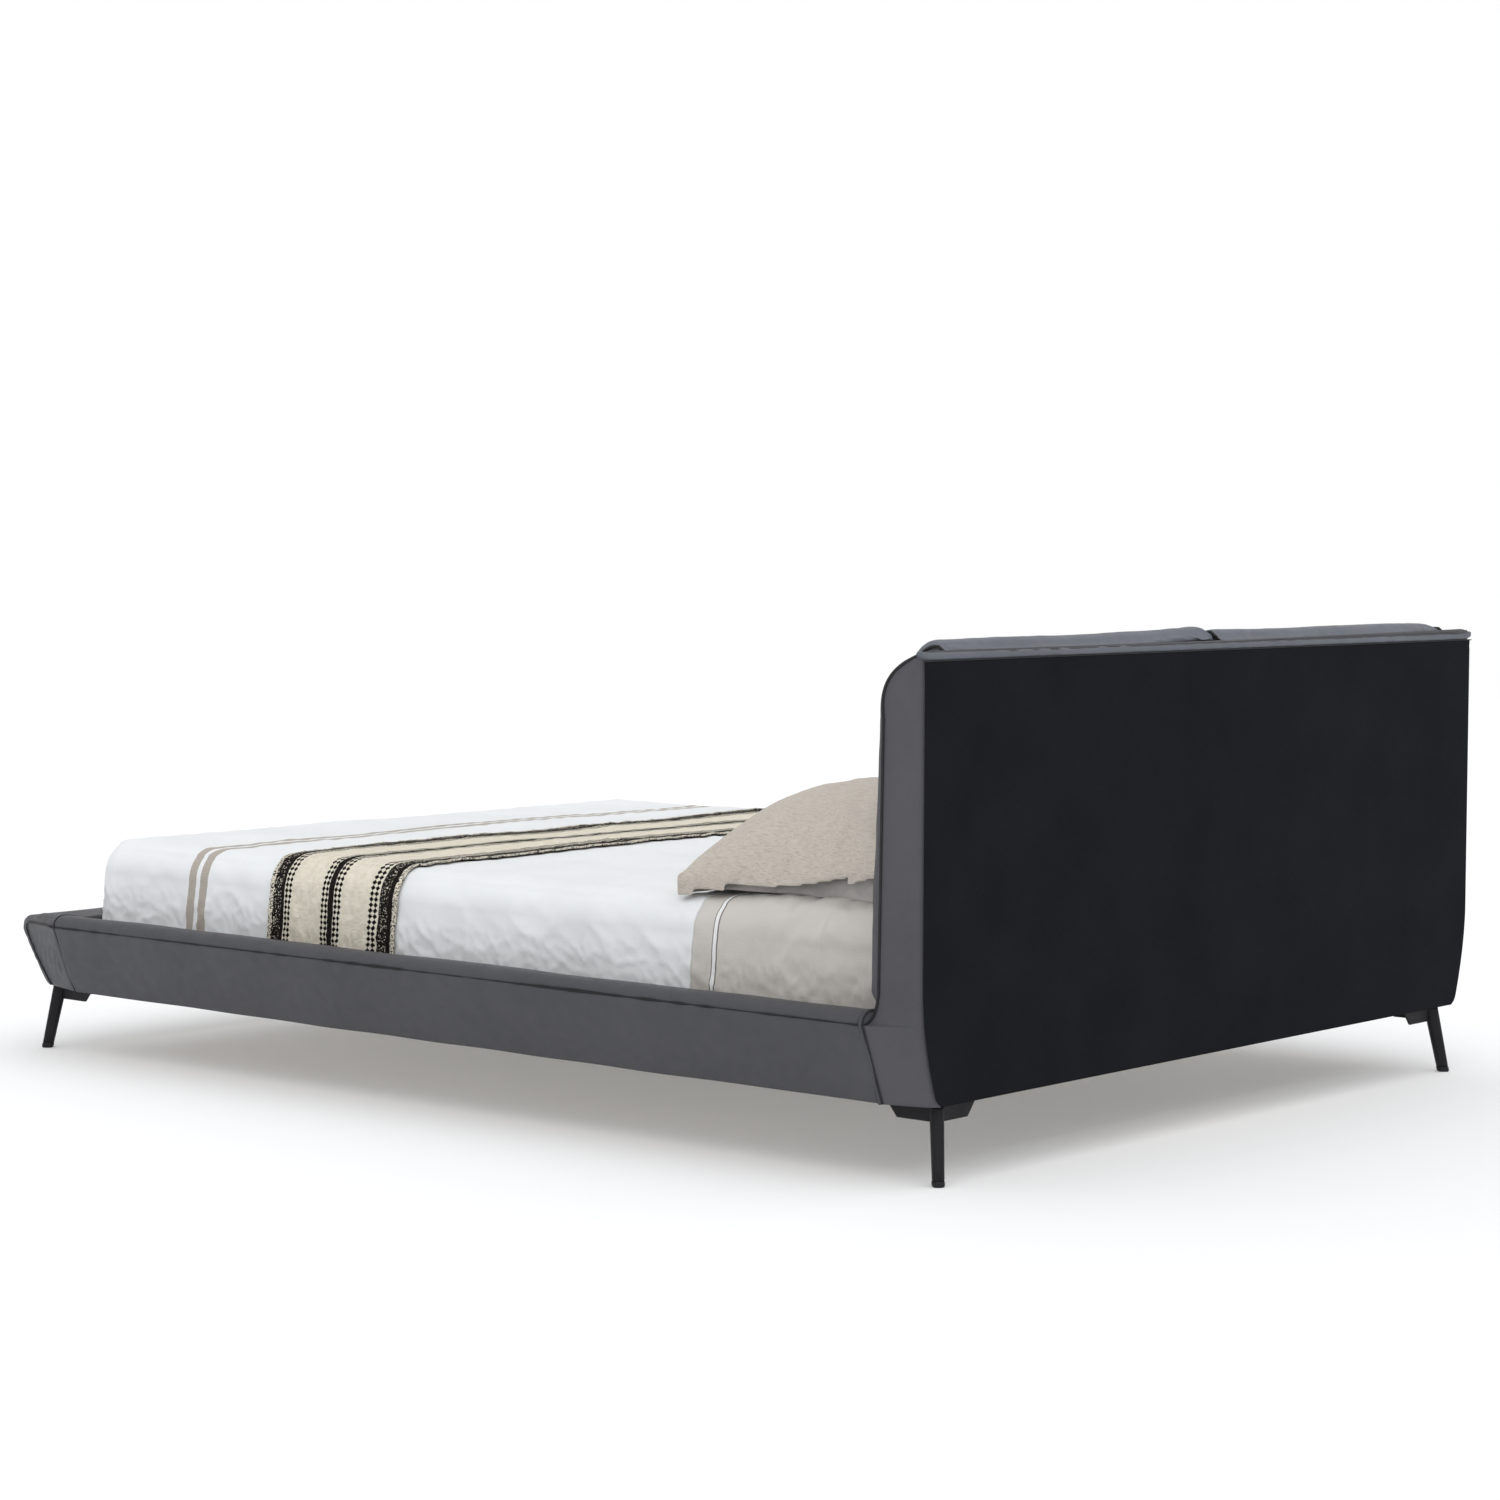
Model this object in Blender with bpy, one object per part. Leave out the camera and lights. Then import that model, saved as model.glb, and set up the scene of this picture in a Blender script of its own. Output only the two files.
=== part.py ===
"""Low upholstered platform bed: outward-leaning leather rails, padded headboard with two
head cushions, splayed metal legs, slatted base, mattress and made-up bedding.

Metres, +Z up. The origin is on the floor under the middle of the bed. +Y runs towards the
headboard and +X to the right of someone who stands at the foot and faces the headboard.
Lengths along the bed are worked out as a "depth" from the back of the headboard, or as a
"reach" outward from the inner face of a rail.
"""
import math

import bmesh
import bpy

# --- clearances ---------------------------------------------------------------------------
GAP = 0.0003                    # between pieces that touch
EDGE = 0.002                    # small softened edge on timber
OVERSHOOT = 0.05                # how far a cutter runs past what it cuts

# --- mattress and the room around it --------------------------------------------------------
MATTRESS_WIDTH = 1.500
MATTRESS_LENGTH = 2.000
MATTRESS_THICKNESS = 0.175
MATTRESS_RADIUS = 0.030
SIDE_GAP = 0.047                # mattress to the rail's inner face
HEAD_GAP = 0.0115               # mattress to the head cushions
FOOT_GAP = 0.055                # mattress to the foot rail's inner face

# --- heights from the floor -----------------------------------------------------------------
FRAME_BOTTOM = 0.129            # underside of rails and headboard
DECK_TOP = 0.235                # top of the slats

# --- rails: a timber core under a leaning, padded leather cover ------------------------------
CORE_HEIGHT = 0.126
SIDE_CORE_THICKNESS = 0.031
FOOT_CORE_THICKNESS = 0.030
INNER_EDGE_RISE = 0.133         # frame bottom to the roll's inner edge
SIDE_BASE = 0.042               # reach of the side cover at its bottom
SIDE_LEAN = 0.052               # how much further it reaches at the seam
SIDE_SEAM_RISE = 0.131          # frame bottom to the seam
SIDE_CREST_REACH = 0.071
SIDE_CREST_RISE = 0.1525
FOOT_BASE = 0.045
FOOT_LEAN = 0.054
FOOT_SEAM_RISE = 0.107
FOOT_CREST_REACH = 0.064
FOOT_CREST_RISE = 0.1385
CORNER_RETURN = 0.089           # length of the foot unit's returned ends
CORNER_TAPER = 0.068            # how far a returned end comes in at the foot, at the seam
CORNER_BASE_TAPER = 0.051       # and at the bottom
ROLL_STEPS = 5

# --- headboard ------------------------------------------------------------------------------
HEADBOARD_TOP = 0.8475          # top of the leather wings
WING_DEPTH = 0.089              # back to the wing's front seam, at the rails
WING_DEPTH_HIGH = 0.082         # the same, where the top starts to round
TOP_RADIUS = 0.112              # round of the wing's upper front edge
TOP_RADIUS_SETBACK = 0.030      # its centre lies this far behind the back
TOP_RADIUS_DROP = 0.108         # and this far below the top
PANEL_FRONT_DEPTH = 0.085       # front of the padding behind the cushions
BACK_HALF_WIDTH_EXTRA = 0.054   # back edge beyond the mattress room's half width
BACK_TUCK = 0.039               # how far the back's lower corners curve in
BACK_TUCK_HEIGHT = 0.190        # over this height
FLARE_HEIGHT = 0.050            # the wings narrow from the rails' seam over this height
RIM_INSET = 0.012               # rim's inner edge, in from the mattress room's half width
RIM_BULGE = 0.030
BACK_CLOTH = 0.0020
BACK_CLOTH_DROP = 0.012         # the leather turns over the back's top edge by this
PLY_THICKNESS = 0.010
FRAME_DEPTH = 0.044             # headboard timbers, front to back
POST_WIDTH = 0.060
TOP_RAIL_HEIGHT = 0.070
BOTTOM_RAIL_HEIGHT = 0.095
TIMBER_TOP_DROP = 0.068         # timbers stop this far below the top

# --- head cushions ----------------------------------------------------------------------------
CUSHION_THICKNESS = 0.046
CUSHION_SPLIT = 0.008           # gap between the two
CUSHION_SIDE_GAP = 0.004        # to the rim
CUSHION_SEAT_GAP = 0.0009       # to the panel behind and the rounded top under it
CUSHION_BOTTOM_RISE = 0.040     # above the deck
CUSHION_WRAP_DEG = 66.0         # how far they wrap over the rounded top
CUSHION_EDGE = 0.045            # they thin out over this length at the ends

# --- slatted base -------------------------------------------------------------------------------
SLAT_COUNT = 11
SLAT_WIDTH = 0.090
SLAT_THICKNESS = 0.008
SLAT_END_GAP = 0.004
LEDGER_WIDTH = 0.040
LEDGER_HEIGHT = 0.036
BEAM_WIDTH = 0.040
BEAM_HEIGHT = 0.060
HANGER_THICKNESS = 0.003
HANGER_LIP = 0.045
BLOCK_SIZE = 0.090              # triangular corner block, along each rail

# --- legs ------------------------------------------------------------------------------------------
LEG_FOOT_INSET_X = 0.003        # leg's centre on the floor, in from the mattress room
LEG_FOOT_DEPTH = 0.012          # and from the headboard's back
FOOT_LEG_INSET = 0.043          # and from the foot rail's outermost line
LEG_SPLAY = 0.150               # sideways run per height, each way
LEG_TOP_RADIUS = 0.0120
LEG_BOTTOM_RADIUS = 0.0098
GLIDE_HEIGHT = 0.010
GLIDE_RADIUS = 0.0115
BRACKET_PLATE = 0.003
BRACKET_WING = 0.004
BRACKET_DROP = 0.030
BRACKET_LENGTH = 0.102          # wing's length at the top
BRACKET_CHAMFER = 0.023         # its lower corner is cut back by this much
CENTRE_LEG_RADIUS = 0.016
CENTRE_PAD_RADIUS = 0.026
CENTRE_PAD_HEIGHT = 0.006
ROUND_SIDES = 16

# --- bedding ----------------------------------------------------------------------------------------
DUVET_THICKNESS = 0.014
DUVET_EASE = 0.0005             # duvet to mattress
DUVET_HEAD_DEPTH = 0.560        # where the white cloth meets its beige border
BORDER_HEAD_DEPTH = 0.150
HEM_HEIGHT = 0.015              # hems stop this far above the deck
THROW_THICKNESS = 0.004
THROW_DEPTH = 1.278             # throw's edge nearer the headboard
THROW_WIDTH = 0.341
CORNER_STEPS = 5

# --- pillows -------------------------------------------------------------------------------------------
PILLOW_LENGTH = 0.660
PILLOW_WIDTH = 0.450
PILLOW_INNER_X = 0.085
PILLOW_HEAD_DEPTH = 0.160
LOWER_PILLOW_RISE = 0.085
UPPER_PILLOW_RISE = 0.080
UPPER_PILLOW_PROP = 0.040       # the head edge of the upper pillow is propped up by this
PILLOW_EDGE = 0.008
PILLOW_POWER = 3.0
PILLOW_ROUND = 0.6

# --- worked out -------------------------------------------------------------------------------------------
ROOM_HALF = MATTRESS_WIDTH / 2 + SIDE_GAP
MATTRESS_HEAD_DEPTH = PANEL_FRONT_DEPTH + CUSHION_SEAT_GAP + CUSHION_THICKNESS + HEAD_GAP
FOOT_INNER_DEPTH = MATTRESS_HEAD_DEPTH + MATTRESS_LENGTH + FOOT_GAP
BED_LENGTH = FOOT_INNER_DEPTH + FOOT_BASE + FOOT_LEAN
HEAD_Y = BED_LENGTH / 2
SEAM_Z = FRAME_BOTTOM + SIDE_SEAM_RISE
CORE_TOP = FRAME_BOTTOM + CORE_HEIGHT
RIM_HALF = ROOM_HALF - RIM_INSET
TOP_CENTRE_Z = HEADBOARD_TOP - TOP_RADIUS_DROP
SIDE_CREST_Z = FRAME_BOTTOM + SIDE_CREST_RISE
FOOT_SEAM_DEPTH = FOOT_INNER_DEPTH - CORNER_RETURN
LEDGER_TOP = DECK_TOP - SLAT_THICKNESS - GAP
MATTRESS_TOP = DECK_TOP + GAP + MATTRESS_THICKNESS
DUVET_TOP = MATTRESS_TOP + DUVET_EASE + DUVET_THICKNESS
HEM_Z = DECK_TOP + HEM_HEIGHT


def y_at(depth):
    """The Y of a point this far in front of the headboard's back."""
    return HEAD_Y - depth


def lerp(start, end, share):
    return start + (end - start) * share


# --- tools ------------------------------------------------------------------------------------------------

def clear_scene():
    for item in list(bpy.data.objects):
        bpy.data.objects.remove(item, do_unlink=True)


def material(name, colour, roughness, metallic=0.0):
    """A Principled material, made once and shared by every piece of that stuff."""
    found = bpy.data.materials.get(name)
    if found:
        return found
    made = bpy.data.materials.new(name)
    made.use_nodes = True
    shader = made.node_tree.nodes["Principled BSDF"]
    shader.inputs["Base Color"].default_value = (*colour, 1.0)
    shader.inputs["Roughness"].default_value = roughness
    shader.inputs["Metallic"].default_value = metallic
    made.diffuse_color = (*colour, 1.0)
    return made


def leather():
    return material("grey_leather", (0.088, 0.091, 0.103), 0.45)


def back_cloth():
    return material("black_nonwoven", (0.012, 0.013, 0.016), 0.95)


def timber():
    return material("pale_timber", (0.55, 0.38, 0.22), 0.6)


def black_metal():
    return material("black_steel", (0.012, 0.012, 0.017), 0.45, 0.6)


def zinc():
    return material("zinc_steel", (0.45, 0.45, 0.46), 0.4, 1.0)


def plastic():
    return material("black_plastic", (0.012, 0.012, 0.013), 0.6)


def cloth(name, colour):
    return material(name, colour, 0.9)


def finish(bm, name, mat, smooth_angle=None):
    """Turn a bmesh into a named object with its faces pointing out."""
    bmesh.ops.recalc_face_normals(bm, faces=bm.faces[:])
    mesh = bpy.data.meshes.new(name)
    bm.to_mesh(mesh)
    bm.free()
    if smooth_angle is not None:
        mesh.shade_smooth()
        mesh.set_sharp_from_angle(angle=math.radians(smooth_angle))
    mesh.materials.append(mat)
    made = bpy.data.objects.new(name, mesh)
    bpy.context.scene.collection.objects.link(made)
    return made


def bevelled(target, width, segments=1):
    bevel = target.modifiers.new("softened_edges", "BEVEL")
    bevel.width = width
    bevel.segments = segments
    return target


def box(name, low, high, mat, bevel=0.0, segments=1):
    """A block between two corners, with its origin at its middle."""
    bm = bmesh.new()
    bmesh.ops.create_cube(bm, size=1.0)
    size = [b - a for a, b in zip(low, high)]
    bmesh.ops.scale(bm, vec=size, verts=bm.verts[:])
    made = finish(bm, name, mat)
    made.location = [(a + b) / 2 for a, b in zip(low, high)]
    return bevelled(made, bevel, segments) if bevel else made


def loft(name, rings, mat, smooth_angle=40.0):
    """Skin a list of closed rings, each with the same number of points, and cap both ends."""
    bm = bmesh.new()
    rows = [[bm.verts.new(point) for point in ring] for ring in rings]
    count = len(rows[0])
    for row, following in zip(rows, rows[1:]):
        for i in range(count):
            j = (i + 1) % count
            bm.faces.new((row[i], row[j], following[j], following[i]))
    bm.faces.new(rows[0])
    bm.faces.new(rows[-1])
    return finish(bm, name, mat, smooth_angle)


def prism_along_y(name, outline, low_depth, high_depth, mat, smooth_angle=30.0):
    """Extrude an (x, z) outline between two depths."""
    rings = [[(x, y_at(depth), z) for x, z in outline] for depth in (low_depth, high_depth)]
    return loft(name, rings, mat, smooth_angle)


def cut(target, cutter):
    """Subtract a cutter, which stays hidden as a wire guide."""
    cutter.hide_render = True
    cutter.display_type = "WIRE"
    boolean = target.modifiers.new("cut_" + cutter.name, "BOOLEAN")
    boolean.operation = "DIFFERENCE"
    boolean.solver = "EXACT"
    boolean.object = cutter
    return target


def circle(centre_x, centre_y, z, radius):
    turns = [2 * math.pi * i / ROUND_SIDES for i in range(ROUND_SIDES)]
    return [(centre_x + radius * math.cos(a), centre_y + radius * math.sin(a), z) for a in turns]


def side_name(side):
    return "right" if side > 0 else "left"


# --- rails --------------------------------------------------------------------------------------------------

def roll_height(reach, crest_reach, crest_rise, full_reach, seam_rise):
    """Top of a rail's padded roll: a sine up to the crest, then a quarter ellipse to the seam."""
    if reach <= crest_reach:
        share = math.sin(math.pi / 2 * max(reach, 0.0) / crest_reach)
        return FRAME_BOTTOM + lerp(INNER_EDGE_RISE, crest_rise, share)
    share = min(1.0, (reach - crest_reach) / (full_reach - crest_reach))
    return FRAME_BOTTOM + lerp(seam_rise, crest_rise, math.sqrt(1 - share * share))


def side_roll(reach):
    return roll_height(reach, SIDE_CREST_REACH, SIDE_CREST_RISE, SIDE_BASE + SIDE_LEAN, SIDE_SEAM_RISE)


def foot_roll(reach):
    return roll_height(reach, FOOT_CREST_REACH, FOOT_CREST_RISE, FOOT_BASE + FOOT_LEAN, FOOT_SEAM_RISE)


def cover_section(base, lean, crest_reach, roll, core_thickness):
    """(reach, z) outline of a cover that wraps the outside and top of its core."""
    full = base + lean
    outer = [full - (full - crest_reach) * (1 - math.cos(math.pi / 2 * i / ROLL_STEPS))
             for i in range(ROLL_STEPS)]
    inner = [crest_reach * (1 - i / ROLL_STEPS) for i in range(ROLL_STEPS + 1)]
    outline = [(base, FRAME_BOTTOM)]
    outline += [(reach, roll(reach)) for reach in outer + inner]
    core_side = core_thickness + GAP
    outline += [(0.0, CORE_TOP + GAP), (core_side, CORE_TOP + GAP), (core_side, FRAME_BOTTOM)]
    return outline


def side_rail(side):
    name = side_name(side)
    section = cover_section(SIDE_BASE, SIDE_LEAN, SIDE_CREST_REACH, side_roll, SIDE_CORE_THICKNESS)
    outline = [(side * (ROOM_HALF + reach), z) for reach, z in section]
    head, foot = WING_DEPTH + GAP, FOOT_SEAM_DEPTH - GAP
    prism_along_y("side_rail_cover_" + name, outline, head, foot, leather())
    inner, outer = side * ROOM_HALF, side * (ROOM_HALF + SIDE_CORE_THICKNESS)
    box("side_rail_core_" + name,
        (min(inner, outer), y_at(foot), FRAME_BOTTOM),
        (max(inner, outer), y_at(head), CORE_TOP), timber())


def foot_rail():
    section = cover_section(FOOT_BASE, FOOT_LEAN, FOOT_CREST_REACH, foot_roll, FOOT_CORE_THICKNESS)
    end = ROOM_HALF - GAP
    rings = [[(x, y_at(FOOT_INNER_DEPTH + reach), z) for reach, z in section] for x in (-end, end)]
    loft("foot_rail_cover", rings, leather(), 30.0)
    box("foot_rail_core",
        (-end, y_at(FOOT_INNER_DEPTH + FOOT_CORE_THICKNESS), FRAME_BOTTOM),
        (end, y_at(FOOT_INNER_DEPTH), CORE_TOP), timber())


def corner_ring(side, reach):
    """Section of a foot corner, across the bed, at a reach beyond the foot rail's inner face."""
    full = FOOT_BASE + FOOT_LEAN
    along = (reach + CORNER_RETURN) / (full + CORNER_RETURN)
    lean_share = max(0.0, (reach - FOOT_BASE) / FOOT_LEAN)
    bottom = FRAME_BOTTOM + FOOT_SEAM_RISE * lean_share

    def outer_reach(z):
        share = min(1.0, (z - FRAME_BOTTOM) / SIDE_SEAM_RISE)
        start = SIDE_BASE + SIDE_LEAN * share
        return start - along * lerp(CORNER_BASE_TAPER, CORNER_TAPER, share)

    def top(across):
        side_top = roll_height(across, SIDE_CREST_REACH, SIDE_CREST_RISE,
                               SIDE_BASE + SIDE_LEAN, SIDE_SEAM_RISE)
        return max(side_top, foot_roll(reach)) if 0 < reach < FOOT_CREST_REACH else (
            side_top if reach <= 0 else foot_roll(reach))

    edge = outer_reach(SEAM_Z)
    rim = min(SEAM_Z, lerp(bottom, top(edge), 0.85))
    ring = [(0.0, bottom), (outer_reach(bottom), bottom), (outer_reach(rim), rim)]
    ring += [(edge * share, top(edge * share)) for share in (0.96, 0.85, 0.7, 0.5, 0.25, 0.0)]
    return [(side * (ROOM_HALF + across), y_at(FOOT_INNER_DEPTH + reach), z) for across, z in ring]


def foot_corner(side):
    """The padded end of the foot unit, from the side rail's end seam round to the foot roll."""
    full = FOOT_BASE + FOOT_LEAN
    beam = [full * share for share in (0.0, 0.25, 0.455, 0.65, 0.8, 0.9, 0.96, 0.985)]
    reaches = [-CORNER_RETURN, -CORNER_RETURN / 2] + beam
    loft("foot_corner_" + side_name(side), [corner_ring(side, r) for r in reaches], leather())


# --- headboard ------------------------------------------------------------------------------------------------

def back_half_width(z):
    """Half width of the headboard's back: straight, with lower corners that curve in."""
    tuck = max(0.0, 1 - (z - FRAME_BOTTOM) / BACK_TUCK_HEIGHT)
    return ROOM_HALF + BACK_HALF_WIDTH_EXTRA - BACK_TUCK * tuck ** 1.8


def wing_half_width(z):
    """Half width at the wings' front seam: it follows the rails, then narrows above them."""
    if z <= SEAM_Z:
        return ROOM_HALF + SIDE_BASE + SIDE_LEAN * (z - FRAME_BOTTOM) / SIDE_SEAM_RISE
    share = min(1.0, (z - SEAM_Z) / FLARE_HEIGHT)
    flare = SIDE_BASE + SIDE_LEAN - BACK_HALF_WIDTH_EXTRA
    return ROOM_HALF + BACK_HALF_WIDTH_EXTRA + flare * (1 - math.sqrt(1 - (1 - share) ** 2))


def rim_ring(depth, z, normal, bulge, panel_offset):
    """One level of the headboard cover: wing seams, padded rims and the panel between them."""
    out_depth, out_z = normal
    wing = wing_half_width(z)
    shares = (0.0, 0.12, 0.30, 0.53, 0.78)
    heights = (0.0, 0.5, 0.85, 1.0, 0.75)
    right = [(lerp(wing, RIM_HALF, share), bulge * height) for share, height in zip(shares, heights)]
    right.append((RIM_HALF, panel_offset))
    front = right + [(-x, rise) for x, rise in reversed(right)]
    ring = [(x, y_at(depth + out_depth * rise), z + out_z * rise) for x, rise in front]
    back = back_half_width(z)
    back_depth = BACK_CLOTH + GAP
    return ring + [(-back, y_at(back_depth), z), (back, y_at(back_depth), z)]


def headboard_cover():
    """Foam and leather over the headboard's front, sides and rounded top, open at the back."""
    rings = []
    for rise in (0.0, 0.03, 0.06, 0.09, 0.11, SIDE_SEAM_RISE, 0.145, SIDE_CREST_RISE + 0.004):
        z = FRAME_BOTTOM + rise
        rings.append(rim_ring(WING_DEPTH, z, (1.0, 0.0), 0.0, PANEL_FRONT_DEPTH - WING_DEPTH))
    start = SIDE_CREST_Z + 0.012
    for share in (0.0, 0.02, 0.045, 0.1, 0.3, 0.5, 0.75, 1.0):
        z = lerp(start, TOP_CENTRE_Z, share)
        depth = lerp(WING_DEPTH, WING_DEPTH_HIGH, share)
        rings.append(rim_ring(depth, z, (1.0, 0.0), RIM_BULGE, PANEL_FRONT_DEPTH - depth))
    last = math.acos((TOP_RADIUS_SETBACK + 0.008) / TOP_RADIUS)
    for i in range(1, 8):
        turn = last * i / 7
        normal = (math.cos(turn), math.sin(turn))
        depth = TOP_RADIUS * normal[0] - TOP_RADIUS_SETBACK
        z = TOP_CENTRE_Z + TOP_RADIUS * normal[1]
        bulge = RIM_BULGE * (1 - 0.75 * (i / 7) ** 3)
        panel = PANEL_FRONT_DEPTH - WING_DEPTH_HIGH
        rings.append(rim_ring(depth, z, normal, bulge, panel))
    cover = loft("headboard_cover", rings, leather())
    half, depth = ROOM_HALF + 2 * EDGE, timber_front_depth() + GAP
    cavity = box("headboard_cavity", (-half, y_at(depth), FRAME_BOTTOM - OVERSHOOT),
                 (half, y_at(-OVERSHOOT), timber_top() + GAP), timber())
    cut(cover, cavity)


def timber_top():
    return HEADBOARD_TOP - TIMBER_TOP_DROP


def timber_back_depth():
    return BACK_CLOTH + GAP


def timber_front_depth():
    return timber_back_depth() + FRAME_DEPTH + GAP + PLY_THICKNESS


def headboard_timbers():
    """Posts, top and bottom rails and the plywood face that the padding is stuck to."""
    half = ROOM_HALF + 2 * EDGE - GAP
    back, front = y_at(timber_back_depth()), y_at(timber_back_depth() + FRAME_DEPTH)
    for side in (-1, 1):
        inner, outer = side * (half - POST_WIDTH), side * half
        box("headboard_post_" + side_name(side), (min(inner, outer), front, FRAME_BOTTOM),
            (max(inner, outer), back, timber_top()), timber(), EDGE)
    span = half - POST_WIDTH - GAP
    box("headboard_top_rail", (-span, front, timber_top() - TOP_RAIL_HEIGHT),
        (span, back, timber_top()), timber(), EDGE)
    box("headboard_bottom_rail", (-span, front, FRAME_BOTTOM),
        (span, back, FRAME_BOTTOM + BOTTOM_RAIL_HEIGHT), timber(), EDGE)
    box("headboard_plywood", (-half, front - GAP - PLY_THICKNESS, FRAME_BOTTOM),
        (half, front - GAP, timber_top()), timber())


def headboard_back():
    """Black dust cloth stapled over the back, cut to the headboard's outline."""
    steps = 10
    top = HEADBOARD_TOP - BACK_CLOTH_DROP
    heights = [FRAME_BOTTOM + BACK_TUCK_HEIGHT * i / steps for i in range(steps + 1)] + [top]
    outline = [(back_half_width(z), z) for z in heights]
    outline += [(-x, z) for x, z in reversed(outline)]
    prism_along_y("headboard_back_cloth", outline, 0.0, BACK_CLOTH, back_cloth())


def cushion_profile():
    """(depth, z, normal, thickness share) along the face that the cushion rests on."""
    bottom = DECK_TOP + CUSHION_BOTTOM_RISE
    seat = PANEL_FRONT_DEPTH + CUSHION_SEAT_GAP
    radius = seat + TOP_RADIUS_SETBACK
    profile = []
    for share, thickness in ((0.0, 0.35), (0.012, 0.7), (0.04, 0.93), (0.1, 1.0), (0.5, 1.0), (1.0, 1.0)):
        z = lerp(bottom, TOP_CENTRE_Z, share)
        profile.append((seat, z, (1.0, 0.0), thickness))
    for share, thickness in ((0.2, 1.0), (0.4, 1.0), (0.6, 1.0), (0.75, 0.92), (0.87, 0.78), (1.0, 0.36)):
        turn = math.radians(CUSHION_WRAP_DEG) * share
        normal = (math.cos(turn), math.sin(turn))
        depth = radius * normal[0] - TOP_RADIUS_SETBACK
        profile.append((depth, TOP_CENTRE_Z + radius * normal[1], normal, thickness))
    return profile


def head_cushion(side):
    """Soft pad that hangs against the panel and folds over the headboard's rounded top."""
    inner, outer = CUSHION_SPLIT / 2, RIM_HALF - CUSHION_SIDE_GAP
    profile = cushion_profile()
    ends = ((0.0, 0.62), (0.1, 0.80), (0.4, 0.94), (1.0, 1.0))
    stations = [(inner + CUSHION_EDGE * s, k) for s, k in ends]
    stations += [(outer - CUSHION_EDGE * s, k) for s, k in reversed(ends)]
    rings = []
    for x, fullness in stations:
        seat = [(side * x, y_at(depth), z) for depth, z, _, _ in profile]
        face = []
        for depth, z, normal, share in profile:
            rise = CUSHION_THICKNESS * share * fullness
            face.append((side * x, y_at(depth + normal[0] * rise), z + normal[1] * rise))
        rings.append(seat + face[::-1])
    loft("head_cushion_" + side_name(side), rings, leather())


# --- slatted base ----------------------------------------------------------------------------------------------

def slat_base():
    """Ledgers on both rails, a centre beam on two hangers and two legs, and the slats."""
    head, foot = WING_DEPTH + 2 * GAP, FOOT_INNER_DEPTH - GAP
    ledge = ROOM_HALF - GAP
    for side in (-1, 1):
        low, high = sorted((side * (ledge - LEDGER_WIDTH), side * ledge))
        box("slat_ledger_" + side_name(side), (low, y_at(foot), LEDGER_TOP - LEDGER_HEIGHT),
            (high, y_at(head), LEDGER_TOP), timber(), EDGE)
    beam_head = PANEL_FRONT_DEPTH + HANGER_THICKNESS + 2 * GAP
    beam_foot = foot - HANGER_THICKNESS - GAP
    box("centre_beam", (-BEAM_WIDTH / 2, y_at(beam_foot), LEDGER_TOP - BEAM_HEIGHT),
        (BEAM_WIDTH / 2, y_at(beam_head), LEDGER_TOP), timber(), EDGE)
    beam_hanger("centre_beam_hanger_head", PANEL_FRONT_DEPTH + GAP, 1)
    beam_hanger("centre_beam_hanger_foot", foot, -1)
    for i in range(2):
        depth = lerp(beam_head, beam_foot, (i + 1) / 3)
        centre_leg(("centre_leg_head", "centre_leg_foot")[i], y_at(depth))
    half = ROOM_HALF - SLAT_END_GAP
    first, last = MATTRESS_HEAD_DEPTH + SLAT_WIDTH, MATTRESS_HEAD_DEPTH + MATTRESS_LENGTH - SLAT_WIDTH
    for i in range(SLAT_COUNT):
        y = y_at(lerp(first, last, i / (SLAT_COUNT - 1)))
        box(f"slat_{i + 1:02d}", (-half, y - SLAT_WIDTH / 2, DECK_TOP - SLAT_THICKNESS),
            (half, y + SLAT_WIDTH / 2, DECK_TOP), timber(), EDGE)


def beam_hanger(name, depth, way):
    """Steel angle: a plate against the headboard or foot rail, and a lip under the beam."""
    bottom = LEDGER_TOP - BEAM_HEIGHT - GAP - HANGER_THICKNESS
    lip_top = bottom + HANGER_THICKNESS
    outline = [(depth, bottom), (depth, LEDGER_TOP), (depth + way * HANGER_THICKNESS, LEDGER_TOP),
               (depth + way * HANGER_THICKNESS, lip_top), (depth + way * HANGER_LIP, lip_top),
               (depth + way * HANGER_LIP, bottom)]
    ends = (-BEAM_WIDTH / 2, BEAM_WIDTH / 2)
    loft(name, [[(x, y_at(d), z) for d, z in outline] for x in ends], zinc())


def centre_leg(name, y):
    """Steel tube with a foot pad and a top plate, under the beam."""
    top = LEDGER_TOP - BEAM_HEIGHT - GAP
    plate = top - BRACKET_PLATE
    levels = [(0.0, CENTRE_PAD_RADIUS), (CENTRE_PAD_HEIGHT, CENTRE_PAD_RADIUS),
              (CENTRE_PAD_HEIGHT, CENTRE_LEG_RADIUS), (plate, CENTRE_LEG_RADIUS),
              (plate, BEAM_WIDTH / 2), (top, BEAM_WIDTH / 2)]
    loft(name, [circle(0.0, y, z, radius) for z, radius in levels], black_metal())


def corner_block(name, side, depth, way):
    """Triangular glue block inside a corner, which the leg's plate is screwed up into."""
    x = side * (ROOM_HALF - GAP)
    top = LEDGER_TOP - LEDGER_HEIGHT - GAP
    corners = [(x, depth), (x - side * BLOCK_SIZE, depth), (x, depth + way * BLOCK_SIZE)]
    rings = [[(cx, y_at(d), z) for cx, d in corners] for z in (FRAME_BOTTOM, top)]
    loft(name, rings, timber())


# --- legs ----------------------------------------------------------------------------------------------------------

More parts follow.
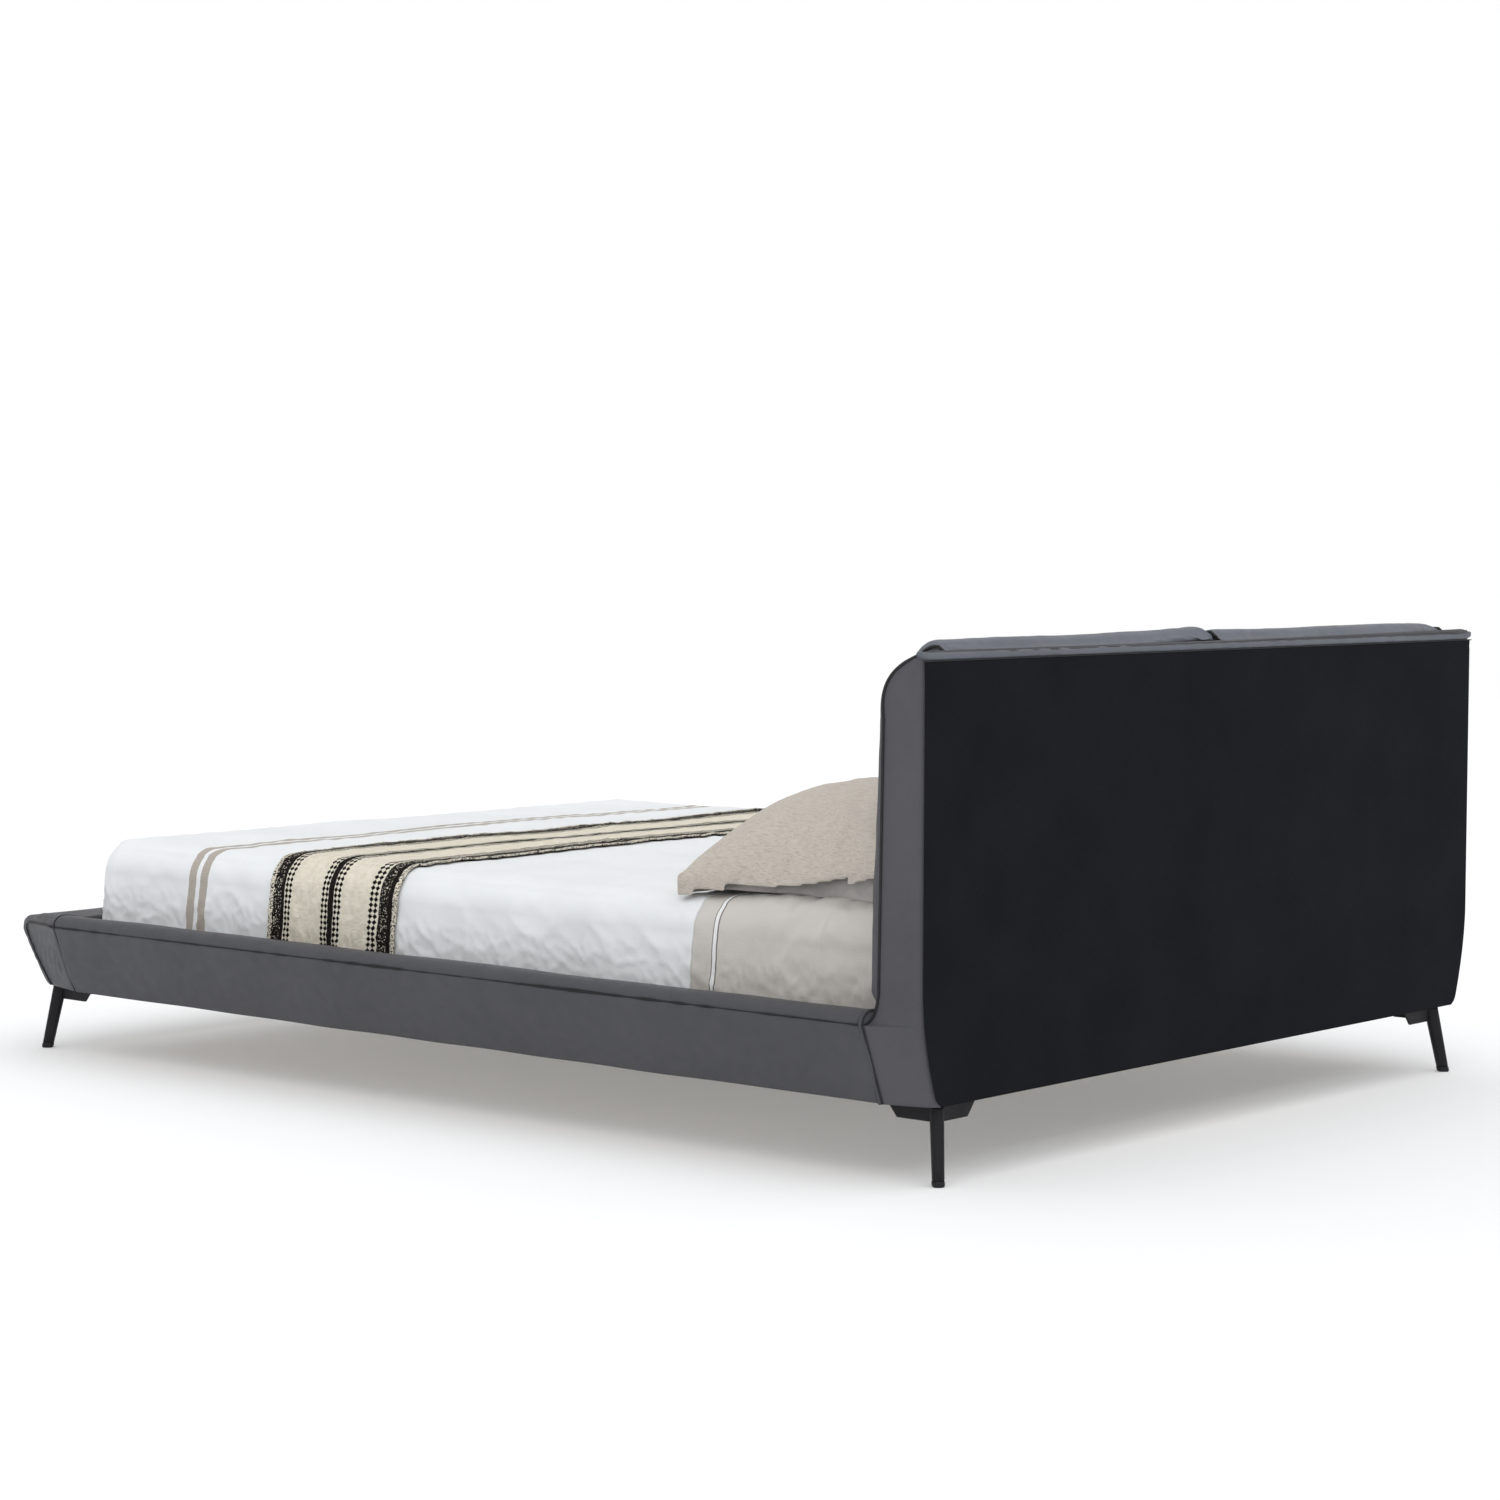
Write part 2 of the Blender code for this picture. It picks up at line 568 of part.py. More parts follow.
def leg_set(end, side, foot_depth, way):
    """One leg, its glide and its bracket. way is +1 where the bed lies at a greater depth."""
    name = f"{end}_{side_name(side)}"
    foot_x = side * (ROOM_HALF - LEG_FOOT_INSET_X)
    foot_y = y_at(foot_depth)

    def axis_at(z):
        return foot_x - side * LEG_SPLAY * z, foot_y - way * LEG_SPLAY * z

    plate_top = FRAME_BOTTOM - GAP
    plate_bottom = plate_top - BRACKET_PLATE
    top = plate_bottom - GAP
    bottom = GLIDE_HEIGHT + GAP
    tube = [circle(*axis_at(bottom), bottom, LEG_BOTTOM_RADIUS), circle(*axis_at(top), top, LEG_TOP_RADIUS)]
    loft("leg_" + name, tube, black_metal())
    chamfer = GLIDE_HEIGHT / 4
    levels = [(0.0, GLIDE_RADIUS - chamfer), (chamfer, GLIDE_RADIUS),
              (GLIDE_HEIGHT - chamfer, GLIDE_RADIUS), (GLIDE_HEIGHT, GLIDE_RADIUS - chamfer / 2)]
    loft("leg_glide_" + name, [circle(*axis_at(0.0), z, r) for z, r in levels], plastic())
    leg_bracket("leg_bracket_" + name, side, way, axis_at(top), plate_bottom, plate_top)


def leg_bracket(name, side, way, axis, plate_bottom, plate_top):
    """Corner plate under the frame with two gusset wings that run from the leg, inward."""
    centre_x, centre_y = axis
    wing_bottom = plate_top - BRACKET_DROP
    start = LEG_TOP_RADIUS + GAP
    clear = start - LEG_SPLAY * (plate_bottom - wing_bottom) + LEG_SPLAY * 2 * GAP
    half = BRACKET_WING / 2
    wing = [(start + GAP, plate_bottom), (BRACKET_LENGTH, plate_bottom),
            (BRACKET_LENGTH - BRACKET_CHAMFER, wing_bottom), (max(clear, half) + GAP, wing_bottom)]

    def along_x(reach, offset, z):
        return centre_x - side * reach, centre_y + offset, z

    def along_y(reach, offset, z):
        return centre_x + offset, centre_y - way * reach, z

    bm = bmesh.new()
    arm = start + GAP + half
    corners = [(-arm, -arm), (BRACKET_LENGTH, -arm), (BRACKET_LENGTH, arm), (arm, arm),
               (arm, BRACKET_LENGTH), (-arm, BRACKET_LENGTH)]
    plate = [bm.verts.new((centre_x - side * u, centre_y - way * v, plate_bottom)) for u, v in corners]
    face = bm.faces.new(plate)
    top = bmesh.ops.extrude_face_region(bm, geom=[face], use_keep_orig=True)
    lifted = [item for item in top["geom"] if isinstance(item, bmesh.types.BMVert)]
    bmesh.ops.translate(bm, vec=(0, 0, plate_top - plate_bottom), verts=lifted)
    bracket = finish(bm, name, black_metal())
    for label, place in (("x", along_x), ("y", along_y)):
        # The wing runs up into the plate, so that the union is one body.
        deep = [(reach, z if z < plate_bottom else z + BRACKET_PLATE / 2) for reach, z in wing]
        rings = [[place(reach, offset, z) for reach, z in deep] for offset in (-half, half)]
        gusset = loft(f"{name}_gusset_{label}", rings, black_metal())
        gusset.hide_render = True
        gusset.display_type = "WIRE"
        union = bracket.modifiers.new("gusset_" + label, "BOOLEAN")
        union.operation = "UNION"
        union.solver = "EXACT"
        union.object = gusset


# --- bedding -----------------------------------------------------------------------------------------------------------

def mattress():
    box("mattress", (-MATTRESS_WIDTH / 2, y_at(MATTRESS_HEAD_DEPTH + MATTRESS_LENGTH), DECK_TOP + GAP),
        (MATTRESS_WIDTH / 2, y_at(MATTRESS_HEAD_DEPTH), MATTRESS_TOP),
        cloth("mattress_ticking", (0.75, 0.74, 0.72)), MATTRESS_RADIUS, 3)


def drape_outline(offset):
    """Inverted U over the mattress, at a distance from it, from the hem up and over."""
    half = MATTRESS_WIDTH / 2 + offset
    top = MATTRESS_TOP + offset
    radius = MATTRESS_RADIUS + offset
    outline = [(half, HEM_Z)]
    for i in range(CORNER_STEPS + 1):
        turn = math.pi / 2 * i / CORNER_STEPS
        outline.append((half - radius + radius * math.cos(turn), top - radius + radius * math.sin(turn)))
    return outline + [(-x, z) for x, z in reversed(outline)]


def band(name, inner_offset, thickness, head_depth, foot_depth, mat):
    """A cloth laid across the bed: the strip between two drape outlines."""
    outline = drape_outline(inner_offset + thickness) + drape_outline(inner_offset)[::-1]
    prism_along_y(name, outline, head_depth, foot_depth, mat)


def duvet():
    """White duvet over the top, both sides and the foot, sewn to a beige border at the head."""
    inner_end = MATTRESS_HEAD_DEPTH + MATTRESS_LENGTH + DUVET_EASE
    white = cloth("white_cotton", (0.80, 0.83, 0.85))
    body = prism_along_y("duvet", drape_outline(DUVET_EASE + DUVET_THICKNESS),
                         DUVET_HEAD_DEPTH, inner_end + DUVET_THICKNESS, white)
    room = drape_outline(DUVET_EASE)
    room = [(x, z if z > HEM_Z else z - OVERSHOOT) for x, z in room]
    cut(body, prism_along_y("duvet_room", room, DUVET_HEAD_DEPTH - OVERSHOOT, inner_end, white))
    band("duvet_border", DUVET_EASE, DUVET_THICKNESS, BORDER_HEAD_DEPTH, DUVET_HEAD_DEPTH - GAP,
         cloth("beige_cotton", (0.50, 0.46, 0.42)))


def throw():
    band("throw", DUVET_EASE + DUVET_THICKNESS + GAP, THROW_THICKNESS, THROW_DEPTH,
         THROW_DEPTH + THROW_WIDTH, cloth("woven_throw", (0.55, 0.48, 0.38)))


def fullness(u, v):
    """Height of a stuffed pillow over its outline, 1 in the middle and 0 at the edge."""
    across = max(0.0, 1 - abs(u) ** PILLOW_POWER)
    along = max(0.0, 1 - abs(v) ** PILLOW_POWER)
    return (across * along) ** PILLOW_ROUND


def pillow(name, side, underside, rise, mat):
    """A stuffed pad over a grid: underside(u, v) gives its lower face, u across and v to the head."""
    bm = bmesh.new()
    bmesh.ops.create_grid(bm, x_segments=14, y_segments=10, size=1.0)
    lower = bm.verts[:]
    copied = bmesh.ops.extrude_face_region(bm, geom=bm.faces[:], use_keep_orig=True)
    upper = {item for item in copied["geom"] if isinstance(item, bmesh.types.BMVert)}
    centre_x = PILLOW_INNER_X + PILLOW_LENGTH / 2
    centre_y = y_at(PILLOW_HEAD_DEPTH + PILLOW_WIDTH / 2)
    for vert in lower + list(upper):
        u, v = vert.co.x, vert.co.y
        z = underside(u, v)
        if vert in upper:
            z += PILLOW_EDGE + rise * fullness(u, v)
        vert.co = (side * (centre_x + u * PILLOW_LENGTH / 2), centre_y + v * PILLOW_WIDTH / 2, z)
    finish(bm, name, mat, 60.0)


def pillows(side):
    name = side_name(side)

    def on_bed(u, v):
        return DUVET_TOP + GAP

    def on_lower_pillow(u, v):
        prop = UPPER_PILLOW_PROP * max(0.0, v) ** 1.5
        return on_bed(u, v) + PILLOW_EDGE + LOWER_PILLOW_RISE * fullness(u, v) + GAP + prop

    pillow("lower_pillow_" + name, side, on_bed, LOWER_PILLOW_RISE, cloth("taupe_cotton", (0.36, 0.33, 0.31)))
    pillow("upper_pillow_" + name, side, on_lower_pillow, UPPER_PILLOW_RISE, cloth("linen", (0.53, 0.49, 0.42)))


# --- the whole bed ----------------------------------------------------------------------------------------------------------

def build():
    clear_scene()
    for side in (-1, 1):
        side_rail(side)
        foot_corner(side)
        head_cushion(side)
        corner_block("corner_block_head_" + side_name(side), side, WING_DEPTH + 2 * GAP, 1)
        corner_block("corner_block_foot_" + side_name(side), side, FOOT_INNER_DEPTH - GAP, -1)
        leg_set("head", side, LEG_FOOT_DEPTH, 1)
        leg_set("foot", side, BED_LENGTH - FOOT_LEG_INSET, -1)
        pillows(side)
    foot_rail()
    headboard_cover()
    headboard_timbers()
    headboard_back()
    slat_base()
    mattress()
    duvet()
    throw()


build()
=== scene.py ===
"""Low upholstered bed: leather rails and headboard on black steel legs, with made-up bedding.

The frame's own nodes give every position. Lengths along the bed are a "depth" in front of the
headboard's back; lengths across a rail are a "reach" outward from its inner face.
"""
import math

import bmesh
import bpy
import numpy as np
from mathutils import Matrix, Vector


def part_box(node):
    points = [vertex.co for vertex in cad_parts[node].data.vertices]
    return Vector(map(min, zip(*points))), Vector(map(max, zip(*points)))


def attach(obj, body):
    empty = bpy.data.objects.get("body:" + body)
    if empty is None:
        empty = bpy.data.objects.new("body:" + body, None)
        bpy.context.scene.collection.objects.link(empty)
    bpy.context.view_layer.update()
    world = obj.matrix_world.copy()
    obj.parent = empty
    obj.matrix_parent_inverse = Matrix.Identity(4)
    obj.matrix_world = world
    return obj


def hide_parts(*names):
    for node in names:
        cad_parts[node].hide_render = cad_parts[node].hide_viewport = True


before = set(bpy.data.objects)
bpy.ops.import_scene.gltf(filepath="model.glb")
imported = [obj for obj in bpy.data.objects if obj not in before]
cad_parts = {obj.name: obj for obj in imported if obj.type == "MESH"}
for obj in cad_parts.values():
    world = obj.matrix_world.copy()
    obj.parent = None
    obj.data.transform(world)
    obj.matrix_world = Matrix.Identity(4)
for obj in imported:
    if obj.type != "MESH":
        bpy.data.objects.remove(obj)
bpy.context.view_layer.update()
HEAD_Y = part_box("headboard_back_cloth")[1].y
FRAME = "bed_frame"
BEDDING = "mattress_and_duvet"


# --- Legs -----------------------------------------------------------------------------------
# Each leg is a soft-square steel bar that narrows to the floor, welded to a corner plate with
# two gusset wings. All of it is powder coated black, and a moulded glide caps the end.

LEG_TOP = (0.0132, 0.0116)          # half widths in the plane of the splay, and across it
LEG_FOOT = (0.0108, 0.0098)
LEG_SPLAY = 0.150
GLIDE_PROUD = 0.0007


def skin(name, grid, around=True, along=False, uv=None, flip=False):
    """Faces over a grid of points, one to each square of four neighbours. Where the columns run
    around, the last joins the first, and each open end is closed with a fan to its middle."""
    rows, cols = grid.shape[:2]
    index = np.arange(rows * cols).reshape(rows, cols)
    if around:
        index = np.hstack([index, index[:, :1]])
    if along:
        index = np.vstack([index, index[:1]])
    quads = np.stack([index[:-1, :-1], index[:-1, 1:], index[1:, 1:], index[1:, :-1]], -1)
    faces = quads.reshape(-1, 4).tolist()
    points = grid.reshape(-1, 3)
    if around and not along:
        middle = len(points)
        points = np.vstack([points, grid[0].mean(0), grid[-1].mean(0)])
        first, last = index[0], index[-1]
        faces += np.stack([first[1:], first[:-1], np.full(cols, middle)], -1).tolist()
        faces += np.stack([last[:-1], last[1:], np.full(cols, middle + 1)], -1).tolist()
    mesh = bpy.data.meshes.new(name)
    mesh.from_pydata(points.tolist(), [], [f[::-1] if flip else f for f in faces])
    if uv is not None:
        layer = mesh.uv_layers.new(name="cloth_metres")
        corners = np.zeros(len(mesh.loops), np.int32)
        mesh.loops.foreach_get("vertex_index", corners)
        layer.data.foreach_set("uv", uv.reshape(-1, 2)[corners].astype(np.float32).ravel())
    if around or along:
        bm = bmesh.new()
        bm.from_mesh(mesh)
        bmesh.ops.recalc_face_normals(bm, faces=bm.faces[:])
        bm.to_mesh(mesh)
        bm.free()
    mesh.shade_smooth()
    made = bpy.data.objects.new(name, mesh)
    bpy.context.scene.collection.objects.link(made)
    return made


def fit(piece, finish, body, slot, *nodes):
    """A finished piece gets its material and its body, and the nodes it stands for are hidden. The slot
    argument is not used.
    """
    piece.data.materials.clear()
    piece.data.materials.append(finish)
    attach(piece, body)
    if nodes:
        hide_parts(*nodes)
    return piece


def add(tree, kind, inputs=None, **settings):
    """One shader node: its settings, and each input as a number or as another node's output."""
    node = tree.nodes.new(kind)
    for key, value in settings.items():
        setattr(node, key, value)
    for key, value in (inputs or {}).items():
        if isinstance(value, bpy.types.NodeSocket):
            tree.links.new(value, node.inputs[key])
        else:
            node.inputs[key].default_value = value
    return node


def sums(tree, operation, a, b=0.0, clamp=False):
    """The output of one Math node."""
    return add(tree, "ShaderNodeMath", {0: a, 1: b}, operation=operation, use_clamp=clamp).outputs[0]


def blend(tree, share, a, b):
    """The output of one colour Mix node."""
    mixed = add(tree, "ShaderNodeMix", {0: share, 6: a, 7: b}, data_type="RGBA")
    return mixed.outputs[2]


def spread(tree, value, low, high, start=0.0, end=1.0):
    """A value carried from one range to another."""
    return add(tree, "ShaderNodeMapRange", {0: value, 1: low, 2: high, 3: start, 4: end}).outputs[0]


def group(name, takes, gives):
    """An empty node group with number inputs after its Vector, and its named outputs."""
    made = bpy.data.node_groups.new(name, "ShaderNodeTree")
    made.interface.new_socket("Vector", in_out="INPUT", socket_type="NodeSocketVector")
    for label, value in takes.items():
        socket = made.interface.new_socket(label, in_out="INPUT", socket_type="NodeSocketFloat")
        socket.default_value = value
    for label in gives:
        made.interface.new_socket(label, in_out="OUTPUT", socket_type="NodeSocketFloat")
    return made, made.nodes.new("NodeGroupInput").outputs, made.nodes.new("NodeGroupOutput").inputs


def mottle_group():
    """Slow and fast noise together, as the cloudy wear and dust of a handled surface."""
    made, into, out = group("handled_mottle", {"Size": 0.1}, ("Slow", "Fast"))
    per = sums(made, "DIVIDE", 1.0, into["Size"])
    slow = add(made, "ShaderNodeTexNoise", {"Vector": into["Vector"], "Scale": per, "Detail": 3.0})
    fine = sums(made, "MULTIPLY", per, 9.0)
    fast = add(made, "ShaderNodeTexNoise", {"Vector": into["Vector"], "Scale": fine, "Detail": 2.0})
    made.links.new(spread(made, slow.outputs[0], 0.3, 0.7), out["Slow"])
    made.links.new(spread(made, fast.outputs[0], 0.3, 0.7), out["Fast"])
    return made


MOTTLE = mottle_group()


def finish_of(name, **constants):
    """A new material with Object coordinates, and constants set on the shader's own sockets."""
    made = bpy.data.materials.new(name)
    made.use_nodes = True
    tree = made.node_tree
    shader = tree.nodes["Principled BSDF"]
    for socket, value in constants.items():
        shader.inputs[socket.replace("_", " ")].default_value = value
    return made, tree, shader, add(tree, "ShaderNodeTexCoord").outputs["Object"]


def use(tree, which, **inputs):
    """A group placed in a material, with its own values."""
    node = add(tree, "ShaderNodeGroup", node_tree=which)
    for key, value in inputs.items():
        if isinstance(value, bpy.types.NodeSocket):
            tree.links.new(value, node.inputs[key])
        else:
            node.inputs[key].default_value = value
    return node.outputs


def paint(tree, shader, base, wear, smooth, rough):
    """A base colour, and a roughness that a wear mask of 0 to 1 carries between two values."""
    tree.links.new(base, shader.inputs["Base Color"])
    tree.links.new(spread(tree, wear, 0, 1, smooth, rough), shader.inputs["Roughness"])


def raise_surface(tree, shader, height, distance):
    """A Bump node, its distance in metres, into the shader's Normal."""
    bump = add(tree, "ShaderNodeBump", {"Height": height, "Distance": distance, "Strength": 1.0})
    tree.links.new(bump.outputs[0], shader.inputs["Normal"])


def coated(name, dark, light, rough, metal, peel):
    """Paint or plating on steel, or moulded plastic: a fine orange peel and cloudy handling."""
    shine = 0.5 if metal else 0.22
    made, tree, shader, place = finish_of(name, Metallic=metal, Specular_IOR_Level=shine)
    cloud = use(tree, MOTTLE, Vector=place, Size=0.05)
    base = blend(tree, cloud["Slow"], (*dark, 1), (*light, 1))
    paint(tree, shader, base, cloud["Fast"], rough - 0.06, rough + 0.08)
    grain = add(tree, "ShaderNodeTexNoise", {"Vector": place, "Scale": 900.0, "Detail": 1.0})
    raise_surface(tree, shader, grain.outputs[0], peel)
    return made


BLACK_STEEL = coated("black_powder_coat", (0.0055, 0.0055, 0.0075), (0.009, 0.009, 0.012), 0.50, 0.0, 0.0002)
GLIDE_BLACK = coated("moulded_glide", (0.008, 0.008, 0.009), (0.014, 0.014, 0.015), 0.55, 0.0, 0.0001)


def bar_rings(foot, top, heights, half_in, half_across):
    """A soft-square section carried up a leaning line: at each height the ring's radius is the
    superellipse 1 / (|cos|^n + |sin|^n)^(1/n), scaled by the bar's two half widths there."""
    turn = np.linspace(0, 2 * np.pi, 40, endpoint=False)
    round_ = (np.abs(np.cos(turn)) ** 2.8 + np.abs(np.sin(turn)) ** 2.8) ** (-1 / 2.8)
    share = ((heights - foot[2]) / (top[2] - foot[2]))[:, None, None]
    centre = np.array(foot) + share * (np.array(top) - np.array(foot))
    lean = np.array([top[0] - foot[0], top[1] - foot[1], 0.0])
    lean = lean / np.linalg.norm(lean)
    side = np.array([-lean[1], lean[0], 0.0])
    ring = (np.cos(turn) * round_)[None, :, None] * lean * half_in[:, None, None]
    ring = ring + (np.sin(turn) * round_)[None, :, None] * side * half_across[:, None, None]
    return centre + ring


def leg(end, side, way):
    name = f"{end}_{'right' if side > 0 else 'left'}"
    glide_low, glide_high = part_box("leg_glide_" + name)
    foot = (*((glide_low + glide_high) / 2).xy, 0.0)
    top_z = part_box("leg_" + name)[1].z
    top = (foot[0] - side * LEG_SPLAY * top_z, foot[1] - way * LEG_SPLAY * top_z, top_z)
    joint = glide_high.z + 0.0003
    heights = np.array([joint, joint + 0.0006, 0.03, 0.06, 0.09, top_z - 0.004, top_z - 0.0002])
    share = heights / top_z
    ease = np.array([0.0008, 0, 0, 0, 0, 0, 0])
    inward = LEG_FOOT[0] + (LEG_TOP[0] - LEG_FOOT[0]) * share - ease
    across = LEG_FOOT[1] + (LEG_TOP[1] - LEG_FOOT[1]) * share - ease
    bar = skin("bar_" + name, bar_rings(foot, top, heights, inward, across))
    fit(bar, BLACK_STEEL, FRAME, "black_steel", "leg_" + name)
    heights = glide_high.z * np.array([0.0, 0.04, 0.16, 0.35, 0.75, 0.9, 0.97, 1.0])
    ease = np.array([0.0035, 0.0018, 0.0006, 0, 0, 0.0002, 0.0008, 0.0016])
    inward, across = (LEG_FOOT[k] + GLIDE_PROUD - ease for k in (0, 1))
    cap = skin("glide_" + name, bar_rings(foot, top, heights, inward, across))
    fit(cap, GLIDE_BLACK, FRAME, "glide_plastic", "leg_glide_" + name)


def dress(finish, *nodes):
    """A node that keeps its own mesh takes a finish on its object's slots."""
    for node in nodes:
        for place in bpy.data.objects[node].material_slots:
            place.link = "OBJECT"
            place.material = finish


CORNERS = [(end, side) for end in ("head", "foot") for side in (-1, 1)]
SIDES = {-1: "left", 1: "right"}
for end, side in CORNERS:
    leg(end, side, 1 if end == "head" else -1)
    dress(BLACK_STEEL, f"leg_bracket_{end}_{SIDES[side]}")
dress(BLACK_STEEL, "centre_leg_head", "centre_leg_foot")


# --- Timber ---------------------------------------------------------------------------------
# Rail cores, ledgers, slats, centre beam and corner blocks of planed pale softwood, and the
# headboard's frame with its plywood face, all glued and screwed. The hangers are zinc plated.

def wood(name, along, light, dark):
    """Planed softwood: rings stretched along one axis, with pores and a few darker streaks."""
    made, tree, shader, place = finish_of(name, Specular_IOR_Level=0.35)
    squeeze = [18.0, 18.0, 18.0]
    squeeze[along] = 1.2
    mapped = add(tree, "ShaderNodeMapping", {"Vector": place, "Scale": squeeze}).outputs[0]
    rings = add(tree, "ShaderNodeTexNoise",
                {"Vector": mapped, "Scale": 1.6, "Detail": 4.0, "Distortion": 1.4})
    wave = sums(tree, "SINE", sums(tree, "MULTIPLY", rings.outputs[0], 42.0))
    figure = spread(tree, wave, -1.0, 1.0)
    pores = add(tree, "ShaderNodeTexNoise", {"Vector": mapped, "Scale": 14.0, "Detail": 2.0}).outputs[0]
    cloud = use(tree, MOTTLE, Vector=place, Size=0.3)
    base = blend(tree, sums(tree, "MULTIPLY", figure, 0.6), (*light, 1), (*dark, 1))
    base = blend(tree, spread(tree, pores, 0.52, 0.75, 0.0, 0.45), base, (*[c * 0.5 for c in dark], 1))
    paint(tree, shader, base, cloud["Fast"], 0.52, 0.68)
    raise_surface(tree, shader, sums(tree, "ADD", figure, pores), 0.0002)
    return made


PINE = ((0.60, 0.50, 0.38), (0.48, 0.37, 0.26))
ALONG_X, ALONG_Y, ALONG_Z = (wood("pine_along_" + "xyz"[k], k, *PINE) for k in range(3))
BIRCH_PLY = wood("birch_plywood", 0, (0.62, 0.49, 0.33), (0.52, 0.39, 0.25))
ZINC = coated("zinc_plate", (0.42, 0.42, 0.43), (0.55, 0.55, 0.56), 0.38, 1.0, 0.0002)
dress(ALONG_Y, "side_rail_core_left", "side_rail_core_right", "slat_ledger_left", "slat_ledger_right",
      "centre_beam")
dress(ALONG_X, "foot_rail_core", "headboard_top_rail", "headboard_bottom_rail",
      *[f"slat_{i:02d}" for i in range(1, 12)])
dress(ALONG_Z, "headboard_post_left", "headboard_post_right",
      *[f"corner_block_{end}_{SIDES[side]}" for end, side in CORNERS])
dress(BIRCH_PLY, "headboard_plywood")
dress(ZINC, "centre_beam_hanger_head", "centre_beam_hanger_foot")


# --- Side rails -------------------------------------------------------------------------------
# A board wrapped in foam and smoke-grey leather. The outer panel leans out to a corded seam, and
# a soft roll runs from there over the board and down its inner face, where it is stapled.

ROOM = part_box("side_rail_core_right")[0].x
RAIL_LOW, RAIL_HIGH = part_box("side_rail_cover_right")
BASE_Z, SEAM_Z = 0.129, 0.260       # the covers' lower edge, and the rail's corded seam
BASE, FULL, CREST = 0.042, 0.094, 0.071
CREST_Z, INNER_Z = 0.2815, 0.262


def pebble_group():
    """Leather's grain: small round cells parted by fine creases, with long soft stretch marks."""
    made, into, out = group("leather_pebble", {"Cell": 0.0016, "Wander": 0.4}, ("Height", "Crease"))
    per = sums(made, "DIVIDE", 1.0, into["Cell"])
    bent = add(made, "ShaderNodeTexNoise", {"Vector": into["Vector"], "Scale": 60.0})
    shift = add(made, "ShaderNodeVectorMath", {0: bent.outputs[1], "Scale": 0.004}, operation="SCALE")
    moved = add(made, "ShaderNodeVectorMath", {0: into["Vector"], 1: shift.outputs[0]}, operation="ADD")
    cell = add(made, "ShaderNodeTexVoronoi", {"Vector": moved.outputs[0], "Scale": per},
               feature="DISTANCE_TO_EDGE")
    crease = spread(made, cell.outputs[0], 0.0, 0.16, 1.0, 0.0)
    stretch = add(made, "ShaderNodeTexNoise", {"Vector": into["Vector"], "Scale": 22.0, "Detail": 3.0})
    wander = sums(made, "MULTIPLY", stretch.outputs[0], into["Wander"])
    made.links.new(sums(made, "SUBTRACT", wander, sums(made, "MULTIPLY", crease, 0.5)), out["Height"])
    made.links.new(crease, out["Crease"])
    return made


PEBBLE = pebble_group()


def leather(name, shade, rough=0.47, relief=0.0005):
    """Semi-matt grained leather: cloudy colour, painted shade darkening the grain's creases, worn highs
    smoother.
    """
    made, tree, shader, place = finish_of(name, Specular_IOR_Level=0.42, Coat_Roughness=0.35)
    grain = use(tree, PEBBLE, Vector=place)
    cloud = use(tree, MOTTLE, Vector=place, Size=0.22)
    low, high = ([c * k for c in shade] for k in (0.90, 1.10))
    base = blend(tree, cloud["Slow"], (*low, 1), (*high, 1))
    # painted shade: the grain's sunken creases are darkened in the base colour
    base = blend(tree, sums(tree, "MULTIPLY", grain["Crease"], 0.35), base, (*[c * 0.45 for c in shade], 1))
    paint(tree, shader, base, cloud["Fast"], rough - 0.05, rough + 0.07)
    raise_surface(tree, shader, grain["Height"], relief)
    return made


RAIL_LEATHER = leather("smoke_grey_leather", (0.058, 0.059, 0.068))
CORD_LEATHER = leather("dark_piping_leather", (0.009, 0.009, 0.011), 0.60, 0.0003)


def ripple(a, b, length, seed, waves=14):
    """About -1 to 1: the sum of seeded plane waves of about one length in scattered directions."""
    pick = np.random.default_rng(seed)
    turn, phase = pick.uniform(0, 2 * np.pi, (2, waves))
    rate = 2 * np.pi / (length * pick.uniform(0.65, 1.6, waves))
    a, b = np.broadcast_arrays(a, b)
    run = a[..., None] * np.cos(turn) + b[..., None] * np.sin(turn)
    return np.sin(run * rate + phase).sum(-1) / math.sqrt(waves)


def crease(a, b, length, seed, sharp=5.0):
    """0 to 1: narrow ridges that run where a ripple crosses nought."""
    return np.clip(1 - np.abs(ripple(a, b, length, seed)), 0, 1) ** sharp


def outward(outline):
    """Unit normals of a closed outline of two columns, which point out of it."""
    ahead = np.roll(outline, -1, 0) - np.roll(outline, 1, 0)
    normal = np.stack([ahead[:, 1], -ahead[:, 0]], -1)
    normal /= np.linalg.norm(normal, axis=1)[:, None] + 1e-12
    area = (outline[:, 0] * np.roll(outline[:, 1], -1) - np.roll(outline[:, 0], -1) * outline[:, 1]).sum()
    return normal if area > 0 else -normal


def roll_top(reach, crest, crest_z, full, seam_z, inner_z):
    """Top of a padded roll: a sine up to the crest, then a quarter ellipse down to the seam."""
    rise = inner_z + (crest_z - inner_z) * np.sin(np.pi / 2 * np.clip(reach / crest, 0, 1))
    fall = np.clip((reach - crest) / (full - crest), 0, 1)
    return np.where(reach <= crest, rise, seam_z + (crest_z - seam_z) * np.sqrt(1 - fall ** 2))


def side_top(reach):
    return roll_top(reach, CREST, CREST_Z, FULL, SEAM_Z, INNER_Z)


def turned_in(board):
    """A cover's inner edge as (reach, z): turned down the inner face, and back round the board."""
    return np.array([[0.001, 0.2622], [-0.0012, 0.2605], [-0.0020, 0.256], [-0.0020, 0.246],
                     [-0.0018, 0.238], [-0.0004, 0.2372], [-0.0003, 0.246], [-0.0003, 0.2556],
                     [0.010, 0.2556], [board, 0.2556], [board, 0.190], [board, 0.1288], [0.036, 0.1288]])


